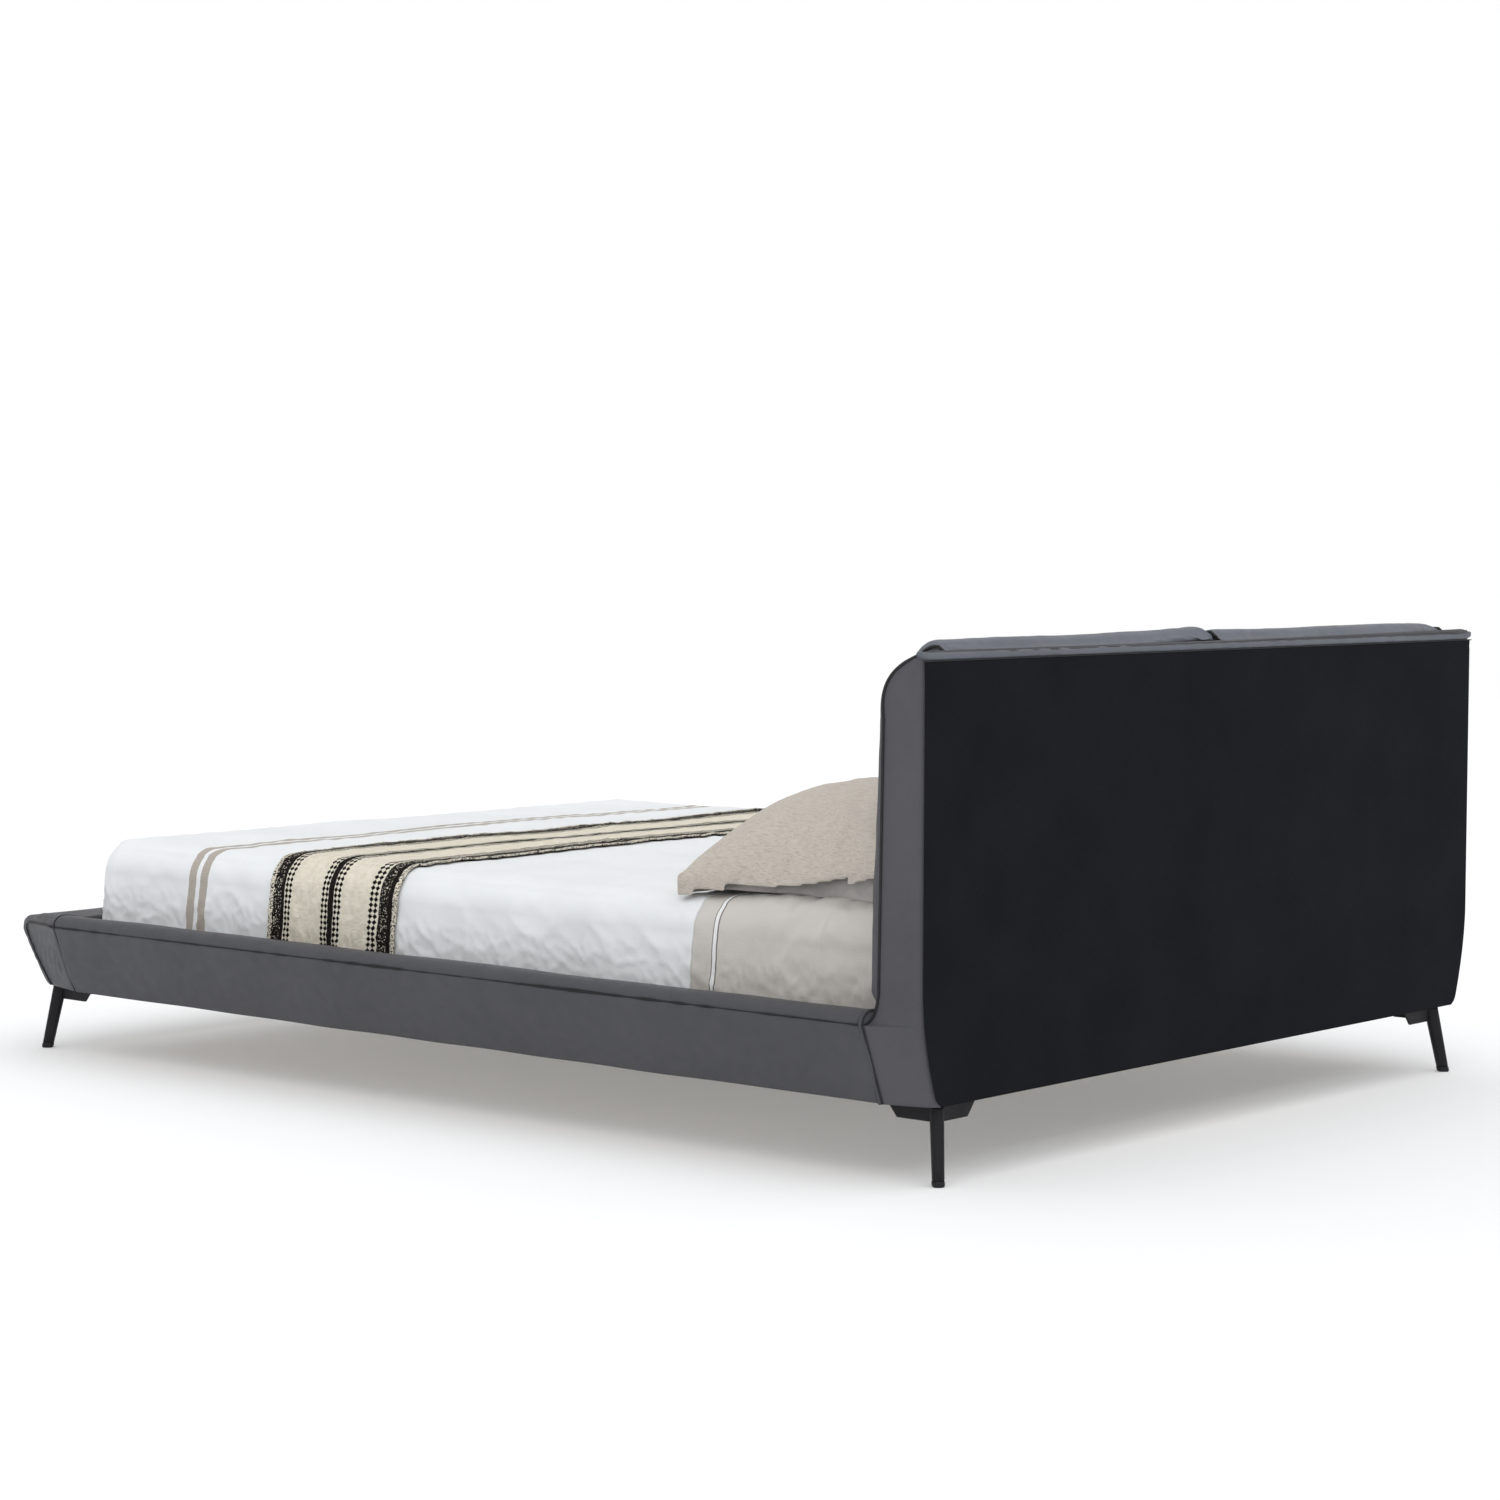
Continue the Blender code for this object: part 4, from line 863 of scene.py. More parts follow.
def head_cushion(side):
    name = SIDES[side]
    line = cushion_line()
    near, far = 0.0045, RIM_HALF - 0.0045
    across = np.concatenate([np.linspace(0, 0.07, 14), np.linspace(0.09, far - near - 0.09, 26),
                             (far - near) - np.linspace(0.07, 0, 14)])
    edge = np.minimum(across, far - near - across)[:, None]
    plump = np.sqrt(np.clip(1 - (1 - np.clip(edge / 0.045, 0, 1)) ** 2, 0, 1)) * 0.32 + 0.68
    plump = plump * (1 - 0.28 * np.clip(1 - edge / 0.010, 0, 1) ** 2)
    run = np.cumsum(np.hypot(np.gradient(line[:, 0]), np.gradient(line[:, 1])))[None, :]
    x = near + across[:, None]
    waves = 0.0009 * ripple(run, x * 0.55, 0.16, 101 + side)
    waves = waves + 0.0010 * crease(x, run * 0.5, 0.16, 105 + side)
    lift = (CUSHION_RISE + waves) * line[None, :, 4] * plump
    seat = np.stack([line[:, 0] + 0 * x, line[:, 1] + 0 * x], -1)
    face = seat + line[None, :, 2:4] * lift[..., None]
    middle = (seat[:, -1:] + face[:, -1:]) / 2
    loop = np.concatenate([seat, middle, face[:, ::-1]], 1)
    loop[..., 1] += cushion_tilt(side, x, loop[..., 1])
    grid = np.stack([side * (x + 0 * loop[..., 0]), HEAD_Y - loop[..., 0], loop[..., 1]], -1)
    made = skin("cushion_" + name, grid)

    def rests(points):
        return cushion_normal(points) < 0.004

    def keep_in(points):
        high = cushion_normal(points)
        over = np.clip(high - CUSHION_RISE - 0.002, 0, None)
        arch = points[:, 2] > ARC_Z
        away = np.stack([HEAD_Y - points[:, 1] + ARC_SETBACK, points[:, 2] - ARC_Z], -1)
        away = np.where(arch[:, None], away / np.linalg.norm(away, axis=1)[:, None], (1.0, 0.0))
        points[:, 1] += over * away[:, 0]
        points[:, 2] -= over * away[:, 1]
        points[:, 0] = side * np.clip(side * points[:, 0], 0.0042, RIM_HALF - 0.0035)
        return points

    puff(made, 0.0065, 4.0, 0.005, rests, keep_in)
    fit(made, LIT_CUSHION_LEATHER, FRAME, "leather", "head_cushion_" + name)
    for label, at, sign in (("inner", 0, 1), ("outer", -1, -1)):
        share = line[:, 4] * plump[at]
        high = line[:, :2] + line[:, 2:4] * (CUSHION_RISE * share + 0.001)[:, None]
        high[:, 1] += cushion_tilt(side, x[at], high[:, 1])
        end_x = side * (x[at] + sign * 0.0008) + 0 * high[:, 0]
        cord = np.stack([end_x, HEAD_Y - high[:, 0], high[:, 1]], -1)
        fit(tube(f"cushion_piping_{label}_{name}", cord, 0.0028), CORD_LEATHER, FRAME, "leather")


# painted light: a copy of the rails' leather made over twice as light and bluer, standing for the light and
# sky reflection on the cushions' tops and backs
LIT_CUSHION_LEATHER = leather("lit_cushion_leather", (0.138, 0.150, 0.182), 0.46, 0.0006)
for side in SIDES:
    head_cushion(side)


# --- Mattress ---------------------------------------------------------------------------------
# A pocket-sprung mattress in a knitted white ticking, its panels quilted to wadding, with a tape
# bound round the top and bottom edges.

MAT_LOW, MAT_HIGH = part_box("mattress")
MAT_CORNER = 0.075


def round_box(half_x, half_y, radius, inset, count=26):
    """Plan outline of a rounded rectangle, drawn in by an inset: four quarter circles in turn."""
    quarter = np.linspace(0, np.pi / 2, count)
    parts = []
    for k, (sx, sy) in enumerate(((1, 1), (-1, 1), (-1, -1), (1, -1))):
        turn = quarter + k * np.pi / 2
        size = max(radius - inset, 0.002)
        parts.append(np.stack([sx * (half_x - radius) + size * np.cos(turn),
                               sy * (half_y - radius) + size * np.sin(turn)], -1))
    return np.vstack(parts)


def ticking():
    """White knit quilted in diamonds: stitched lines sink between soft crowns, with painted shade darkening
    the sunken lines.
    """
    made, tree, shader, place = finish_of("knitted_ticking", Sheen_Weight=0.2, Specular_IOR_Level=0.3)
    part = add(tree, "ShaderNodeSeparateXYZ", {0: place}).outputs
    diag = [sums(tree, "SINE", sums(tree, "MULTIPLY", sums(tree, kind, part[0], part[1]), 38.0))
            for kind in ("ADD", "SUBTRACT")]
    crown = sums(tree, "MULTIPLY", sums(tree, "ABSOLUTE", diag[0]), sums(tree, "ABSOLUTE", diag[1]))
    knit = add(tree, "ShaderNodeTexVoronoi", {"Vector": place, "Scale": 520.0}).outputs[0]
    cloud = use(tree, MOTTLE, Vector=place, Size=0.3)
    base = blend(tree, cloud["Slow"], (0.70, 0.69, 0.66, 1), (0.78, 0.77, 0.75, 1))
    # painted shade: the colour darkens along the quilting's sunken lines
    base = blend(tree, spread(tree, crown, 0.0, 0.15, 0.35, 0.0), base, (0.52, 0.51, 0.49, 1))
    paint(tree, shader, base, cloud["Fast"], 0.78, 0.92)
    height = sums(tree, "ADD", sums(tree, "POWER", crown, 0.4), sums(tree, "MULTIPLY", knit, 0.08))
    raise_surface(tree, shader, height, 0.004)
    return made


def mattress():
    half_x, half_y = (MAT_HIGH.x - MAT_LOW.x) / 2, (MAT_HIGH.y - MAT_LOW.y) / 2
    centre = (MAT_HIGH.y + MAT_LOW.y) / 2
    low, high = MAT_LOW.z + 0.0005, MAT_HIGH.z - 0.009
    side = np.linspace(0.08, 0.78, 12)
    profile = [(0.060, low + 0.001), (0.030, low), (0.012, low + 0.003), (0.004, low + 0.010)]
    profile += [(0.004 - 0.003 * math.sin(math.pi * s), low + (high - low) * s) for s in side]
    profile += [(0.010, high - 0.026), (0.022, high - 0.011), (0.040, high - 0.003), (0.066, high)]

    def ring(inset, z):
        plan = round_box(half_x, half_y, MAT_CORNER, inset)
        return np.column_stack([plan[:, 0], plan[:, 1] + centre, np.full(len(plan), z)])

    grid = np.stack([ring(inset, z) for inset, z in profile])
    made = fit(skin("mattress_body", grid), ticking(), BEDDING, "ticking", "mattress")
    for label, z in (("bottom", low + 0.012), ("top", high - 0.036)):
        tape = tube("mattress_tape_" + label, ring(0.0060, z), 0.0024, closed=True)
        fit(tape, TAPE, BEDDING, "ticking")


def streaks(tree, place, stretch):
    """Noise drawn out along an axis: stretch is its scale along X, Y and Z."""
    mapped = add(tree, "ShaderNodeMapping", {"Vector": place, "Scale": stretch}).outputs[0]
    return add(tree, "ShaderNodeTexNoise", {"Vector": mapped, "Scale": 1.0, "Detail": 2.0}).outputs[0]


def weave_group():
    """Plain weave: threads along X, Y and Z of about one spacing, that wander and vary in
    thickness, so that two of the three cross on any face."""
    made, into, out = group("plain_weave", {"Thread": 0.0008, "Slub": 0.3}, ("Height", "Slub"))
    rate = sums(made, "DIVIDE", 6.2832, into["Thread"])
    wander = add(made, "ShaderNodeTexNoise", {"Vector": into["Vector"], "Scale": 30.0, "Detail": 2.0})
    part = add(made, "ShaderNodeSeparateXYZ", {0: into["Vector"]}).outputs
    drift = sums(made, "MULTIPLY", wander.outputs[0], 0.004)
    lines = []
    for axis in part[:3]:
        moved = sums(made, "MULTIPLY", sums(made, "ADD", axis, drift), rate)
        lines.append(spread(made, sums(made, "SINE", moved), -1, 1))
    height = sums(made, "MAXIMUM", sums(made, "MULTIPLY", lines[0], lines[1]),
                  sums(made, "MULTIPLY", lines[2], sums(made, "MAXIMUM", lines[0], lines[1])))
    bars = []
    for stretch in ((9.0, 420.0, 420.0), (420.0, 9.0, 420.0)):
        bars.append(streaks(made, into["Vector"], stretch))
    slub = spread(made, sums(made, "MAXIMUM", *bars), 0.50, 0.75)
    made.links.new(sums(made, "ADD", height, sums(made, "MULTIPLY", slub, into["Slub"])), out["Height"])
    made.links.new(slub, out["Slub"])
    return made


WEAVE = weave_group()


def woven(name, shade, thread, slub, relief, streak=0.10, sheen=0.25):
    """A plain-woven cloth: cloudy dye, thicker threads a little lighter or darker."""
    made, tree, shader, place = finish_of(name, Sheen_Weight=sheen, Sheen_Roughness=0.5,
                                          Specular_IOR_Level=0.25)
    cloth = use(tree, WEAVE, Vector=place, Thread=thread, Slub=slub)
    cloud = use(tree, MOTTLE, Vector=place, Size=0.18)
    faded, deep, thick = ((*[min(1, c * k) for c in shade], 1) for k in (1.03, 0.965, 1 - streak))
    base = blend(tree, cloud["Slow"], deep, faded)
    base = blend(tree, sums(tree, "MULTIPLY", cloth["Slub"], streak * 4), base, thick)
    paint(tree, shader, base, cloud["Fast"], 0.80, 0.92)
    raise_surface(tree, shader, cloth["Height"], relief)
    return made, tree, shader, base


TAPE = woven("edge_tape", (0.62, 0.60, 0.57), 0.0012, 0.2, 0.0004)[0]
mattress()


# --- Duvet ------------------------------------------------------------------------------------
# A thin white cotton duvet lies over the mattress and hangs down both sides and the foot into the
# gap behind the rails. A beige cotton border with a white tape is sewn across its head end.

DUVET_LOW, DUVET_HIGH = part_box("duvet")
HALF = DUVET_HIGH.x
TOP = DUVET_HIGH.z
HEM = DUVET_LOW.z
FOOT_END = HEAD_Y - DUVET_LOW.y
BORDER_END = HEAD_Y - DUVET_HIGH.y
CORNER, FOLD = 0.072, 0.064         # the foot corners' radius in plan, and the top edge's
REACH = (CORNER - FOLD) + FOLD * math.pi / 2 + (TOP - FOLD - HEM)
CLOTH_HALF = HALF - CORNER + REACH
CLOTH_END = FOOT_END - CORNER + REACH


def over_bed(across, along, lift):
    """Where a point of flat cloth lies on the bed. Past a core rectangle the greater overhang d
    runs level, then round a quarter circle, then straight down, on the line from the core to
    the point; wrinkles and lift move it along the surface's own normal."""
    over_x = np.clip(np.abs(across) - (HALF - CORNER), 0, None) * np.sign(across)
    over_y = np.clip(along - (FOOT_END - CORNER), 0, None)
    size = np.hypot(over_x, over_y) + 1e-9
    way_x, way_y = over_x / size, over_y / size
    hang = np.maximum(np.abs(over_x), over_y)
    turn = np.clip((hang - (CORNER - FOLD)) / FOLD, 0, np.pi / 2)
    down = np.clip(hang - (CORNER - FOLD) - FOLD * np.pi / 2, 0, None)
    out = np.minimum(hang, CORNER - FOLD) + FOLD * np.sin(turn)
    drop = FOLD * (1 - np.cos(turn)) + down
    flat = 1 - turn / (np.pi / 2)
    head = np.clip((0.62 - along) / 0.36, 0, 1)
    head = head * head * (3 - 2 * head)
    swell = (0.002 * np.cos(np.clip(across / HALF, -1, 1) * np.pi / 2) + 0.0125 * head) * flat
    long = 0.0020 * ripple(across * 0.5, along, 0.52, 121)
    long = long + 0.0008 * ripple(across * 0.6, along * 0.8, 0.20, 122)
    long = long + 0.0018 * crease(across * 0.7, along, 0.34, 123, 4.0)
    crumple = crease(across * 0.9, along * 1.3, 0.085, 127, 2.5) + 0.5 * ripple(across, along, 0.045, 128)
    near_pillow = np.clip(1 - np.abs(along - 0.31) / 0.16, 0, 1)
    near_pillow = near_pillow * np.clip((np.abs(across) - 0.45) / 0.2, 0, 1)
    long = long + 0.0050 * (crumple - 0.2) * near_pillow
    around = along + np.arctan2(over_x, over_y + 1e-6) * 0.10
    folds = 0.0026 * ripple(around, down * 0.35, 0.13, 124)
    folds = folds + 0.0030 * crease(around, down * 0.8, 0.17, 125, 3.0)
    folds = folds + 0.003 * np.sin(np.clip(down / 0.12, 0, 1) * np.pi)
    move = lift + swell + long * (0.35 + 0.65 * flat) + folds * (1 - flat)
    low = np.clip(down / 0.05, 0, 1)
    small = crease(around + hang * 0.6, hang * 0.9, 0.042, 129, 3.0) - 0.3
    small = small + 0.4 * crease(around - hang * 0.5, hang, 0.022, 130, 2.0)
    move = move + 0.0005 * ripple(across * 1.2, along, 0.055, 126) + 0.0030 * small * low
    move = move - 0.006 * np.clip(1 - down / 0.10, 0, 1) * np.sin(turn) ** 2 * (size > 0.05)
    reach = out + np.sin(turn) * move
    x = np.sign(across) * np.minimum(np.abs(across), HALF - CORNER) + way_x * reach
    depth = np.minimum(along, FOOT_END - CORNER) + way_y * reach
    return np.stack([x, HEAD_Y - depth, TOP - 0.0062 - drop + np.cos(turn) * move], -1)


STRIPES, STRIPE_HALF = (1.8485, 1.8165), 0.0104
BORDER_TAPE, TAPE_HALF, STITCH_OFF = 0.5115, 0.0040, 0.0050


def far_from(tree, value, middle):
    """How far a number is from a middle value."""
    return sums(tree, "ABSOLUTE", sums(tree, "SUBTRACT", value, middle))


def cloth_place(tree):
    """Across and along the flat cloth, in metres, from its own UV map."""
    return add(tree, "ShaderNodeSeparateXYZ", {0: add(tree, "ShaderNodeUVMap").outputs[0]}).outputs


def cotton_duvet():
    """White percale with two beige woven stripes near the foot, set out by the cloth's length."""
    made, tree, shader, base = woven("white_percale", (0.815, 0.835, 0.855), 0.0007, 0.15, 0.0002, 0.03, 0.08)
    along = cloth_place(tree)[1]
    stripe = 0.0
    for middle in STRIPES:
        inside = sums(tree, "LESS_THAN", far_from(tree, along, middle), STRIPE_HALF)
        stripe = sums(tree, "MAXIMUM", stripe, inside)
    place = add(tree, "ShaderNodeTexCoord").outputs["Object"]
    ticks = add(tree, "ShaderNodeTexNoise", {"Vector": place, "Scale": 700.0}).outputs[0]
    beige = blend(tree, spread(tree, ticks, 0.4, 0.6), (0.38, 0.34, 0.30, 1), (0.48, 0.44, 0.39, 1))
    tree.links.new(blend(tree, stripe, base, beige), shader.inputs["Base Color"])
    return made


def laid_cloth(name, start, end, rows, cols, lift, thickness, half=CLOTH_HALF):
    across = np.linspace(-half, half, cols)[None, :]
    along = np.linspace(start, end, rows)[:, None]
    across, along = np.broadcast_arrays(across, along)
    points = over_bed(across, along, lift(across, along))
    made = skin(name, points, around=False, uv=np.stack([across, along], -1), flip=True)
    return thicken(made, thickness)


def border_tape(across, along):
    """The white tape stands a millimetre proud, between two stitched dips."""
    off = np.abs(along - BORDER_TAPE)
    dip = 0.0008 * np.exp(-((off - STITCH_OFF) / 0.001) ** 2)
    return 0.0012 * np.clip((TAPE_HALF - off) / 0.0012, 0, 1) - dip


def beige_border():
    made, tree, shader, base = woven("beige_cotton", (0.575, 0.552, 0.518), 0.0009, 0.25, 0.0002, 0.06)
    off = far_from(tree, cloth_place(tree)[1], BORDER_TAPE)
    stitch = sums(tree, "LESS_THAN", far_from(tree, off, STITCH_OFF), 0.0010)
    sewn = blend(tree, stitch, base, (0.17, 0.15, 0.14, 1))
    taped = blend(tree, sums(tree, "LESS_THAN", off, TAPE_HALF), sewn, (0.82, 0.83, 0.84, 1))
    tree.links.new(taped, shader.inputs["Base Color"])
    return made


duvet = laid_cloth("duvet_cover", BORDER_END + 0.0004, CLOTH_END, 300, 330, lambda a, b: 0 * a, 0.0080)
fit(duvet, cotton_duvet(), BEDDING, "white_cotton", "duvet")
border = laid_cloth("duvet_border_cloth", 0.1505, BORDER_END - 0.0004, 130, 260, border_tape, 0.0078)
fit(border, beige_border(), BEDDING, "beige_cotton", "duvet_border")


# --- Throw ------------------------------------------------------------------------------------
# A hand-woven cream runner lies across the bed and hangs down both sides. Bands of black and
# speckled yarn, diamonds and dots run its whole length, and both edges are fuzzy.

THROW_LOW, THROW_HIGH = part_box("throw")
THROW_START, THROW_END = HEAD_Y - THROW_HIGH.y, HEAD_Y - THROW_LOW.y
BLACK_BANDS = ((0.010, 0.0225), (0.166, 0.181), (0.3015, 0.3095))
DARK_SPECKLES = ((0.020, 0.046), (0.307, 0.331))
LIGHT_SPECKLES = ((-0.010, 0.012), (0.331, 0.360))
DIAMOND_BANDS = ((0.049, 0.073), (0.147, 0.166), (0.181, 0.200), (0.282, 0.301))
DIAMOND_PITCH = 0.0104


def runner():
    """Bands by distance t from the head-side edge, in metres. Each diamond band is two columns
    of cells, and a diamond is where the sum of the offsets in its own cell is small."""
    made, tree, shader, place = finish_of("hand_woven_runner", Specular_IOR_Level=0.06)
    part = cloth_place(tree)
    jitter = add(tree, "ShaderNodeTexNoise", {"Vector": place, "Scale": 160.0}).outputs[0]
    shake = sums(tree, "MULTIPLY", sums(tree, "SUBTRACT", jitter, 0.5), 0.0030)
    t = sums(tree, "ADD", sums(tree, "SUBTRACT", part[1], THROW_START), shake)
    fleck = add(tree, "ShaderNodeTexNoise", {"Vector": place, "Scale": 330.0, "Detail": 1.0}).outputs[0]

    def zone(low, high):
        return sums(tree, "LESS_THAN", far_from(tree, t, (low + high) / 2), (high - low) / 2)

    def any_of(zones):
        found = 0.0
        for low, high in zones:
            found = sums(tree, "MAXIMUM", found, zone(low, high))
        return found

    def cell(value, size):
        return far_from(tree, sums(tree, "FRACT", sums(tree, "DIVIDE", value, size)), 0.5)

    ink = any_of(BLACK_BANDS)
    for bands, least in ((DARK_SPECKLES, 0.375), (LIGHT_SPECKLES, 0.565)):
        speckle = sums(tree, "MULTIPLY", any_of(bands), sums(tree, "GREATER_THAN", fleck, least))
        ink = sums(tree, "MAXIMUM", ink, speckle)
    for low, high in DIAMOND_BANDS:
        column = cell(sums(tree, "SUBTRACT", t, low), (high - low) / 2)
        diamond = sums(tree, "LESS_THAN", sums(tree, "ADD", column, cell(part[0], DIAMOND_PITCH)), 0.50)
        ink = sums(tree, "MAXIMUM", ink, sums(tree, "MULTIPLY", diamond, zone(low, high)))
    weave = use(tree, WEAVE, Vector=place, Thread=0.0022, Slub=0.6)
    cloud = use(tree, MOTTLE, Vector=place, Size=0.12)
    cream = blend(tree, cloud["Fast"], (0.72, 0.67, 0.56, 1), (0.84, 0.79, 0.69, 1))
    cream = blend(tree, sums(tree, "MULTIPLY", weave["Slub"], 0.35), cream, (0.62, 0.56, 0.44, 1))
    yarn = blend(tree, fleck, (0.008, 0.006, 0.006, 1), (0.022, 0.017, 0.015, 1))
    paint(tree, shader, blend(tree, ink, cream, yarn), cloud["Fast"], 0.85, 0.97)
    raise_surface(tree, shader, sums(tree, "ADD", weave["Height"], sums(tree, "MULTIPLY", ink, 0.5)), 0.0008)
    return made


def throw_lift(across, along):
    """The runner lies on the duvet; its speckled borders are thicker and its edges ruffled."""
    edge = np.minimum(along - THROW_START, THROW_END - along)
    thick = 0.0012 * np.clip(1 - edge / 0.040, 0, 1) ** 0.5
    return 0.0058 + thick + 0.0007 * ripple(across, along, 0.012, 141) * np.clip(1 - edge / 0.02, 0, 1)


throw = laid_cloth("throw_runner", THROW_START, THROW_END, 74, 260, throw_lift, 0.0028)
fit(throw, runner(), BEDDING, "woven_throw", "throw")


# --- Pillows ----------------------------------------------------------------------------------
# Four feather pillows, two to a side: taupe cotton below and slubby natural linen above. Each is
# a sewn bag, so its sides pull in between pointed corners and the cloth gathers along the seams.

def plump(u, v):
    return (np.clip(1 - np.abs(u) ** 3, 0, 1) * np.clip(1 - np.abs(v) ** 3, 0, 1)) ** 0.55


def pillow(name, node, base, rise, wall, draw_in, seed, finish, top_of):
    """A stuffed bag over u, v in -1..1: its outline draws in between the corners by a square, its
    height over the edge is ((1-|u|^3)(1-|v|^3))^0.55, and pleats fan in from the seams. base(u, v)
    is its lower face and wall(u, v) the height of its edge. draw_in takes the outline in from the
    node's box across and along the bed, and top_of keeps heights clear of the other pillow."""
    low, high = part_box(node)
    middle = (low + high) / 2
    half_x, half_y = (high.x - low.x) / 2 - draw_in[0], (high.y - low.y) / 2 - draw_in[1]
    v = np.sin(np.linspace(-1, 1, 62) * np.pi / 2)[:, None]
    u = np.sin(np.linspace(-1, 1, 84) * np.pi / 2)[None, :]

    def bag(u, v, up):
        """Share up of the way from the lower face to the upper one; in between, the edge bows."""
        full = plump(u, v)
        seam = 1 - np.minimum(1 - np.abs(u), 1 - np.abs(v))
        pleat = ripple(u * half_x * 3 / (0.4 + np.abs(u)), v * half_y * 3 / (0.4 + np.abs(v)), 0.085, seed)
        fan = crease(u * half_x, v * half_y, 0.15, seed + 7, 3.0)
        upright = ripple(u * half_x, v * half_y * 0.15, 0.060, seed + 11) * np.clip(v, 0, 1) ** 1.5
        wave = 0.0022 * pleat * seam ** 3 + 0.0042 * (fan - 0.3) + 0.003 * ripple(u, v, 1.1, seed + 3)
        wave = (wave + 0.0028 * upright) * full ** 0.5
        bow = 0.0055 * math.sin(math.pi * up) * (wall(u, v) / 0.02)
        x = middle.x + half_x * u * (1 - 0.045 * (1 - v ** 2) * u ** 2) + bow * np.sign(u) * np.abs(u) ** 40
        y = middle.y + half_y * v * (1 - 0.050 * (1 - u ** 2) * v ** 2) + bow * np.sign(v) * np.abs(v) ** 40
        z = base(u, v) + 0.0005 * full * (1 - up) + (wall(u, v) + (rise - 0.002) * full + wave) * up
        return np.stack([x, y, z + 0 * x], -1)

    ends = [bag(u[:, k:k + 1], v, up) for k, way in ((-1, 1), (0, -1)) for up in (0.75, 0.5, 0.25)[::way]]
    grid = np.concatenate([bag(u, v, 1.0), *ends[:3], bag(u, v, 0.0)[:, ::-1], *ends[3:]], 1)
    made = skin(name, grid)

    def shares(points):
        """u and v of points, with the outline's draw-in undone."""
        u = np.clip((points[:, 0] - middle.x) / half_x, -1, 1)
        v = np.clip((points[:, 1] - middle.y) / half_y, -1, 1)
        full_u, full_v = u * (1 + 0.047 * (1 - v ** 2) * u ** 2), v * (1 + 0.053 * (1 - u ** 2) * v ** 2)
        return np.clip(full_u, -1, 1), np.clip(full_v, -1, 1)

    def keep_in(points):
        points[:, 2] = np.clip(points[:, 2], low.z - 0.016, high.z + 0.004)
        points[:, 2] = top_of(*shares(points), points[:, 2])
        return points

    puff(made, 0.0060, 3.0, 0.010, lambda points: points[:, 2] < base(*shares(points)) + 0.004, keep_in)
    fit(made, finish, node, SLOT_OF[node.split("_")[0]], node)


def slub_linen():
    """Natural linen: a woven ground with long thick crosswise threads, lighter and darker, and
    dark flecks of straw."""
    made, tree, shader, base = woven("slub_linen", (0.560, 0.505, 0.445), 0.0013, 0.9, 0.0006, 0.10, 0.12)
    place = add(tree, "ShaderNodeTexCoord").outputs["Object"]
    bars = []
    for stretch in ((900.0, 60.0, 900.0), (60.0, 900.0, 900.0)):
        bars.append(streaks(tree, place, stretch))
    thick = spread(tree, bars[0], 0.30, 0.70)
    base = blend(tree, thick, base, (0.67, 0.610, 0.545, 1))
    base = blend(tree, spread(tree, bars[0], 0.47, 0.36, 0.0, 0.30), base, (0.36, 0.305, 0.245, 1))
    base = blend(tree, spread(tree, bars[1], 0.55, 0.72, 0.0, 0.30), base, (0.40, 0.365, 0.315, 1))
    tree.links.new(base, shader.inputs["Base Color"])
    return made


SLOT_OF = {"lower": "taupe_cotton", "upper": "linen"}
TAUPE = woven("taupe_cotton", (0.430, 0.410, 0.400), 0.0009, 0.3, 0.00025, 0.08)[0]
LINEN = slub_linen()
BED_TOP = TOP + 0.0040
LOWER_RISE, UPPER_RISE = 0.078, 0.078


def near_corner(side, u, v):
    """1 at the pillow's outer corner on the foot side, and falling away from it."""
    return np.clip(side * u, 0, 1) ** 4 * np.clip(-v, 0, 1) ** 3


def on_bed(u, v):
    return BED_TOP + 0 * u * v


def on_lower(u, v):
    """The lower pillow's top, and a prop that lifts the upper one towards the headboard."""
    prop = 0.0090 * (v + 1) + 0.0070 * (v + 1) ** 2
    return BED_TOP - 0.0060 + LOWER_RISE * plump(u, v) + prop


def taupe_wall(u, v):
    """Its head-side corners stand up against the headboard."""
    return 0.010 + 0.030 * np.clip(v, 0, 1) * np.abs(u) ** 6


def under_linen(u, v, z):
    return np.minimum(z, np.maximum(on_lower(u, v) - 0.0015, BED_TOP + 0.002))


def over_taupe(u, v, z):
    margin = 0.014 + 0.030 * np.maximum(np.abs(u), np.abs(v)) ** 8
    return np.maximum(z, on_lower(u, v) - margin)


for side, name in SIDES.items():
    pillow("taupe_pillow_" + name, "lower_pillow_" + name, on_bed, LOWER_RISE - 0.010, taupe_wall,
           (0.030, 0.020), 161 + side, TAUPE, under_linen)
    pillow("linen_pillow_" + name, "upper_pillow_" + name,
           lambda u, v: on_lower(u, v) - 0.012 * near_corner(side, u, v), UPPER_RISE,
           lambda u, v: 0.012 + 0.030 * near_corner(side, u, v),
           (0.003, -0.008), 171 + side, LINEN, over_taupe)


# --- Floor, light and camera --------------------------------------------------------------------
# A white floor under a white sky, with a broad soft light from above and a lower one from the
# side, and the camera.

def white_floor():
    size = np.linspace(-14, 14, 3)
    x, y = np.meshgrid(size, size, indexing="ij")
    floor = skin("studio_floor", np.stack([x, y, 0 * x], -1), around=False)
    made, tree, shader, place = finish_of("white_floor", Specular_IOR_Level=0.1)
    cloud = use(tree, MOTTLE, Vector=place, Size=2.0)
    base = blend(tree, cloud["Slow"], (0.795, 0.795, 0.800, 1), (0.805, 0.805, 0.810, 1))
    tree.links.new(base, shader.inputs["Base Color"])
    shader.inputs["Roughness"].default_value = 0.9
    shader.inputs["Emission Color"].default_value = (0.93, 0.97, 1.0, 1.0)
    shader.inputs["Emission Strength"].default_value = 0.17
    floor.data.materials.append(made)


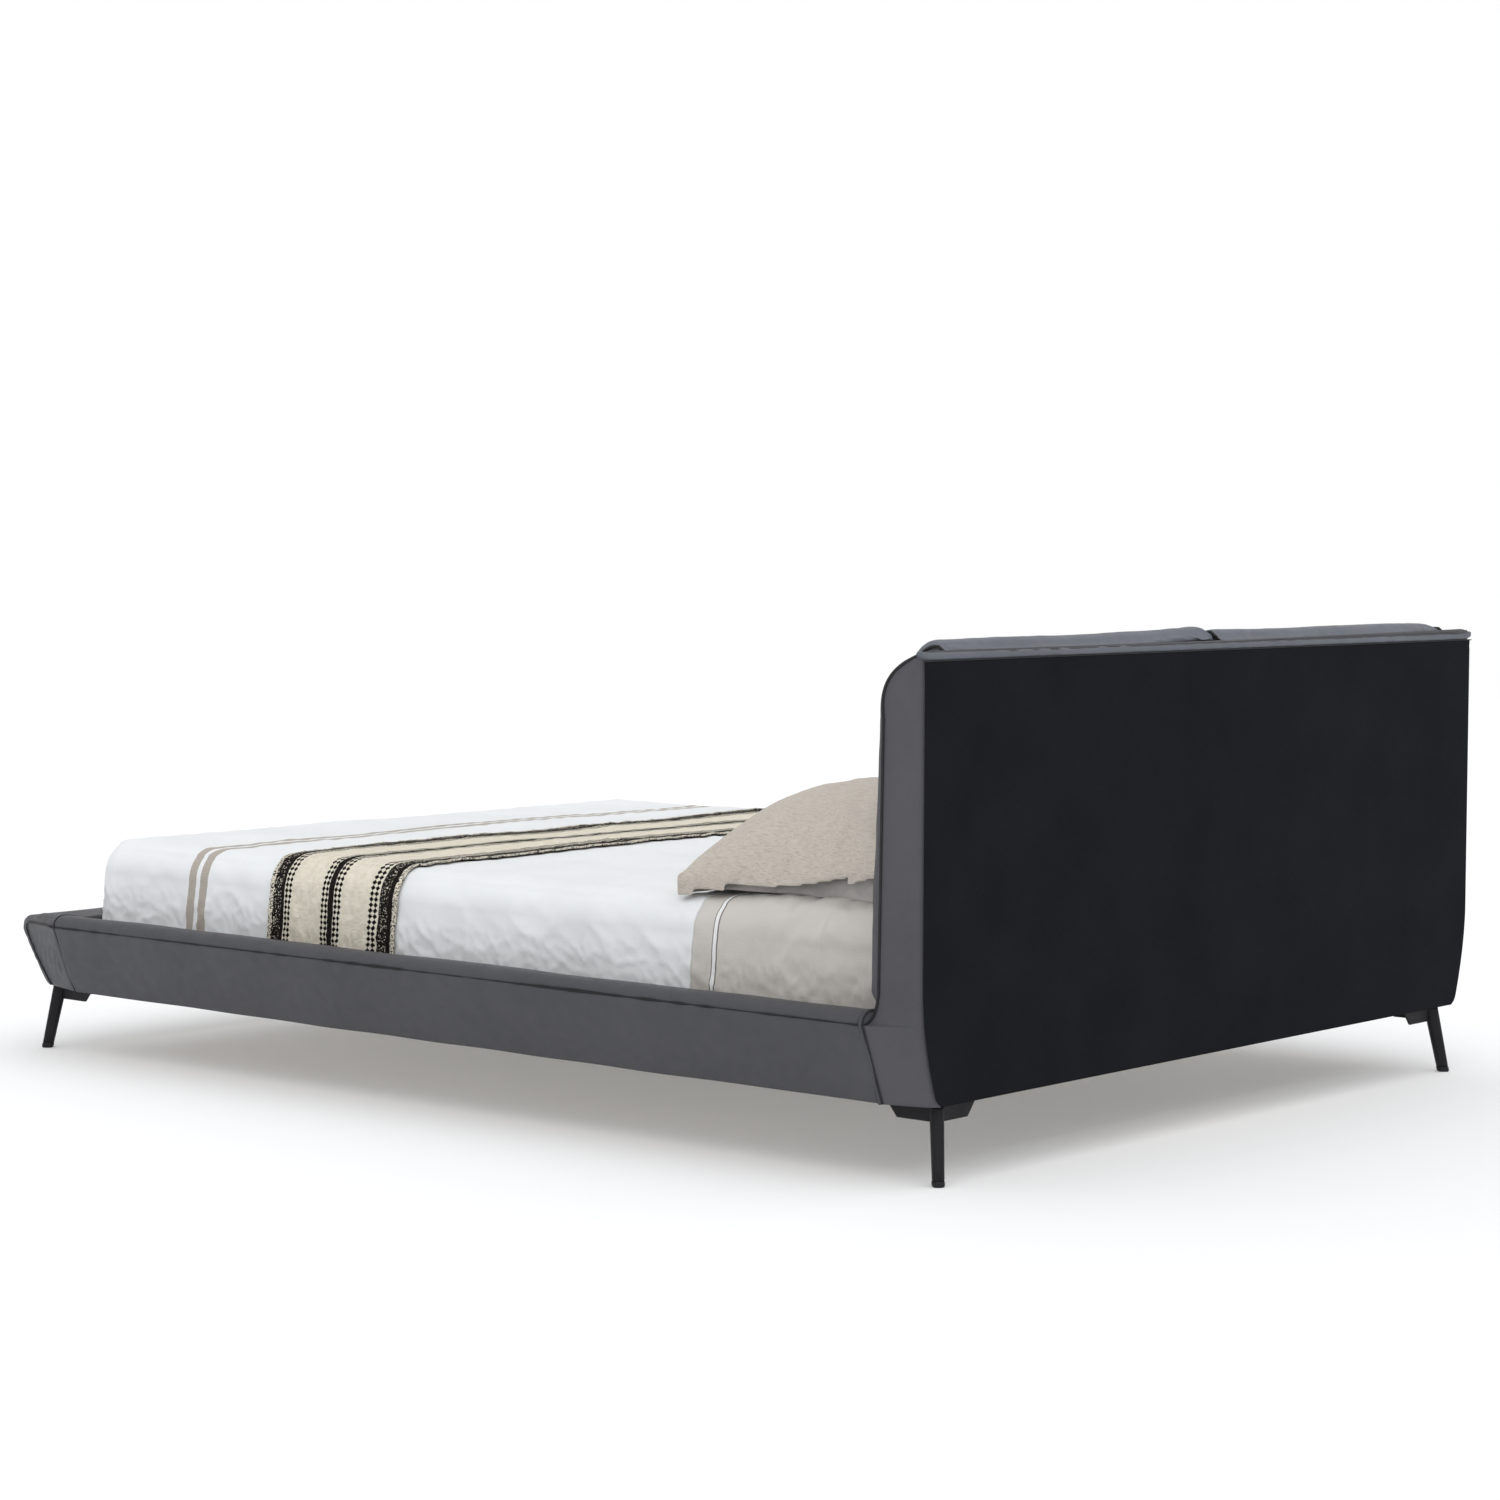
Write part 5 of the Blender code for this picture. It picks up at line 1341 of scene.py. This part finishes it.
def white_sky(strength):
    world = bpy.data.worlds.new("studio")
    world.use_nodes = True
    tree = world.node_tree
    lit = tree.nodes["Background"]
    lit.inputs["Color"].default_value = (1.0, 1.0, 1.0, 1)
    lit.inputs["Strength"].default_value = strength
    seen = add(tree, "ShaderNodeBackground", {"Color": (1, 1, 1, 1), "Strength": 1.0})
    ray = add(tree, "ShaderNodeLightPath")
    mixed = add(tree, "ShaderNodeMixShader",
                {0: ray.outputs["Is Camera Ray"], 1: lit.outputs[0], 2: seen.outputs[0]})
    tree.links.new(mixed.outputs[0], tree.nodes["World Output"].inputs["Surface"])
    bpy.context.scene.world = world


def soft_sun(name, toward, strength):
    """A wide, even lamp from a direction: its disc is 80 degrees across."""
    data = bpy.data.lights.new(name, "SUN")
    data.energy, data.angle = strength, math.radians(80.0)
    lamp = bpy.data.objects.new(name, data)
    bpy.context.scene.collection.objects.link(lamp)
    lamp.rotation_mode = "QUATERNION"
    lamp.rotation_quaternion = Vector(toward).to_track_quat("Z", "Y")


def camera(place, azimuth, elevation, roll, lens):
    """Azimuth 0 looks along +Y and 90 along -X; the roll turns the view about its own axis."""
    turn, rise, lean = (math.radians(a) for a in (azimuth, elevation, roll))
    back = Vector((math.sin(turn) * math.cos(rise), -math.cos(turn) * math.cos(rise), math.sin(rise)))
    right = Vector((math.cos(turn), math.sin(turn), 0))
    up = back.cross(right)
    rolled = math.cos(lean) * right + math.sin(lean) * up
    upright = -math.sin(lean) * right + math.cos(lean) * up
    data = bpy.data.cameras.new("camera")
    data.sensor_width, data.lens = 36.0, lens
    made = bpy.data.objects.new("camera", data)
    bpy.context.scene.collection.objects.link(made)
    made.matrix_world = Matrix((rolled, upright, back)).transposed().to_4x4()
    made.location = place
    bpy.context.scene.camera = made


white_floor()
white_sky(0.82)
soft_sun("overhead", (0.18, 0.30, 1.0), 0.80)
soft_sun("fill", (0.85, 0.85, 0.45), 0.48)
camera(place=(5.1852, 4.5146, 1.0469), azimuth=130.6749, elevation=3.6664, roll=0.1738, lens=84.71)
bpy.context.scene.view_settings.view_transform = "Standard"

bpy.context.view_layer.update()
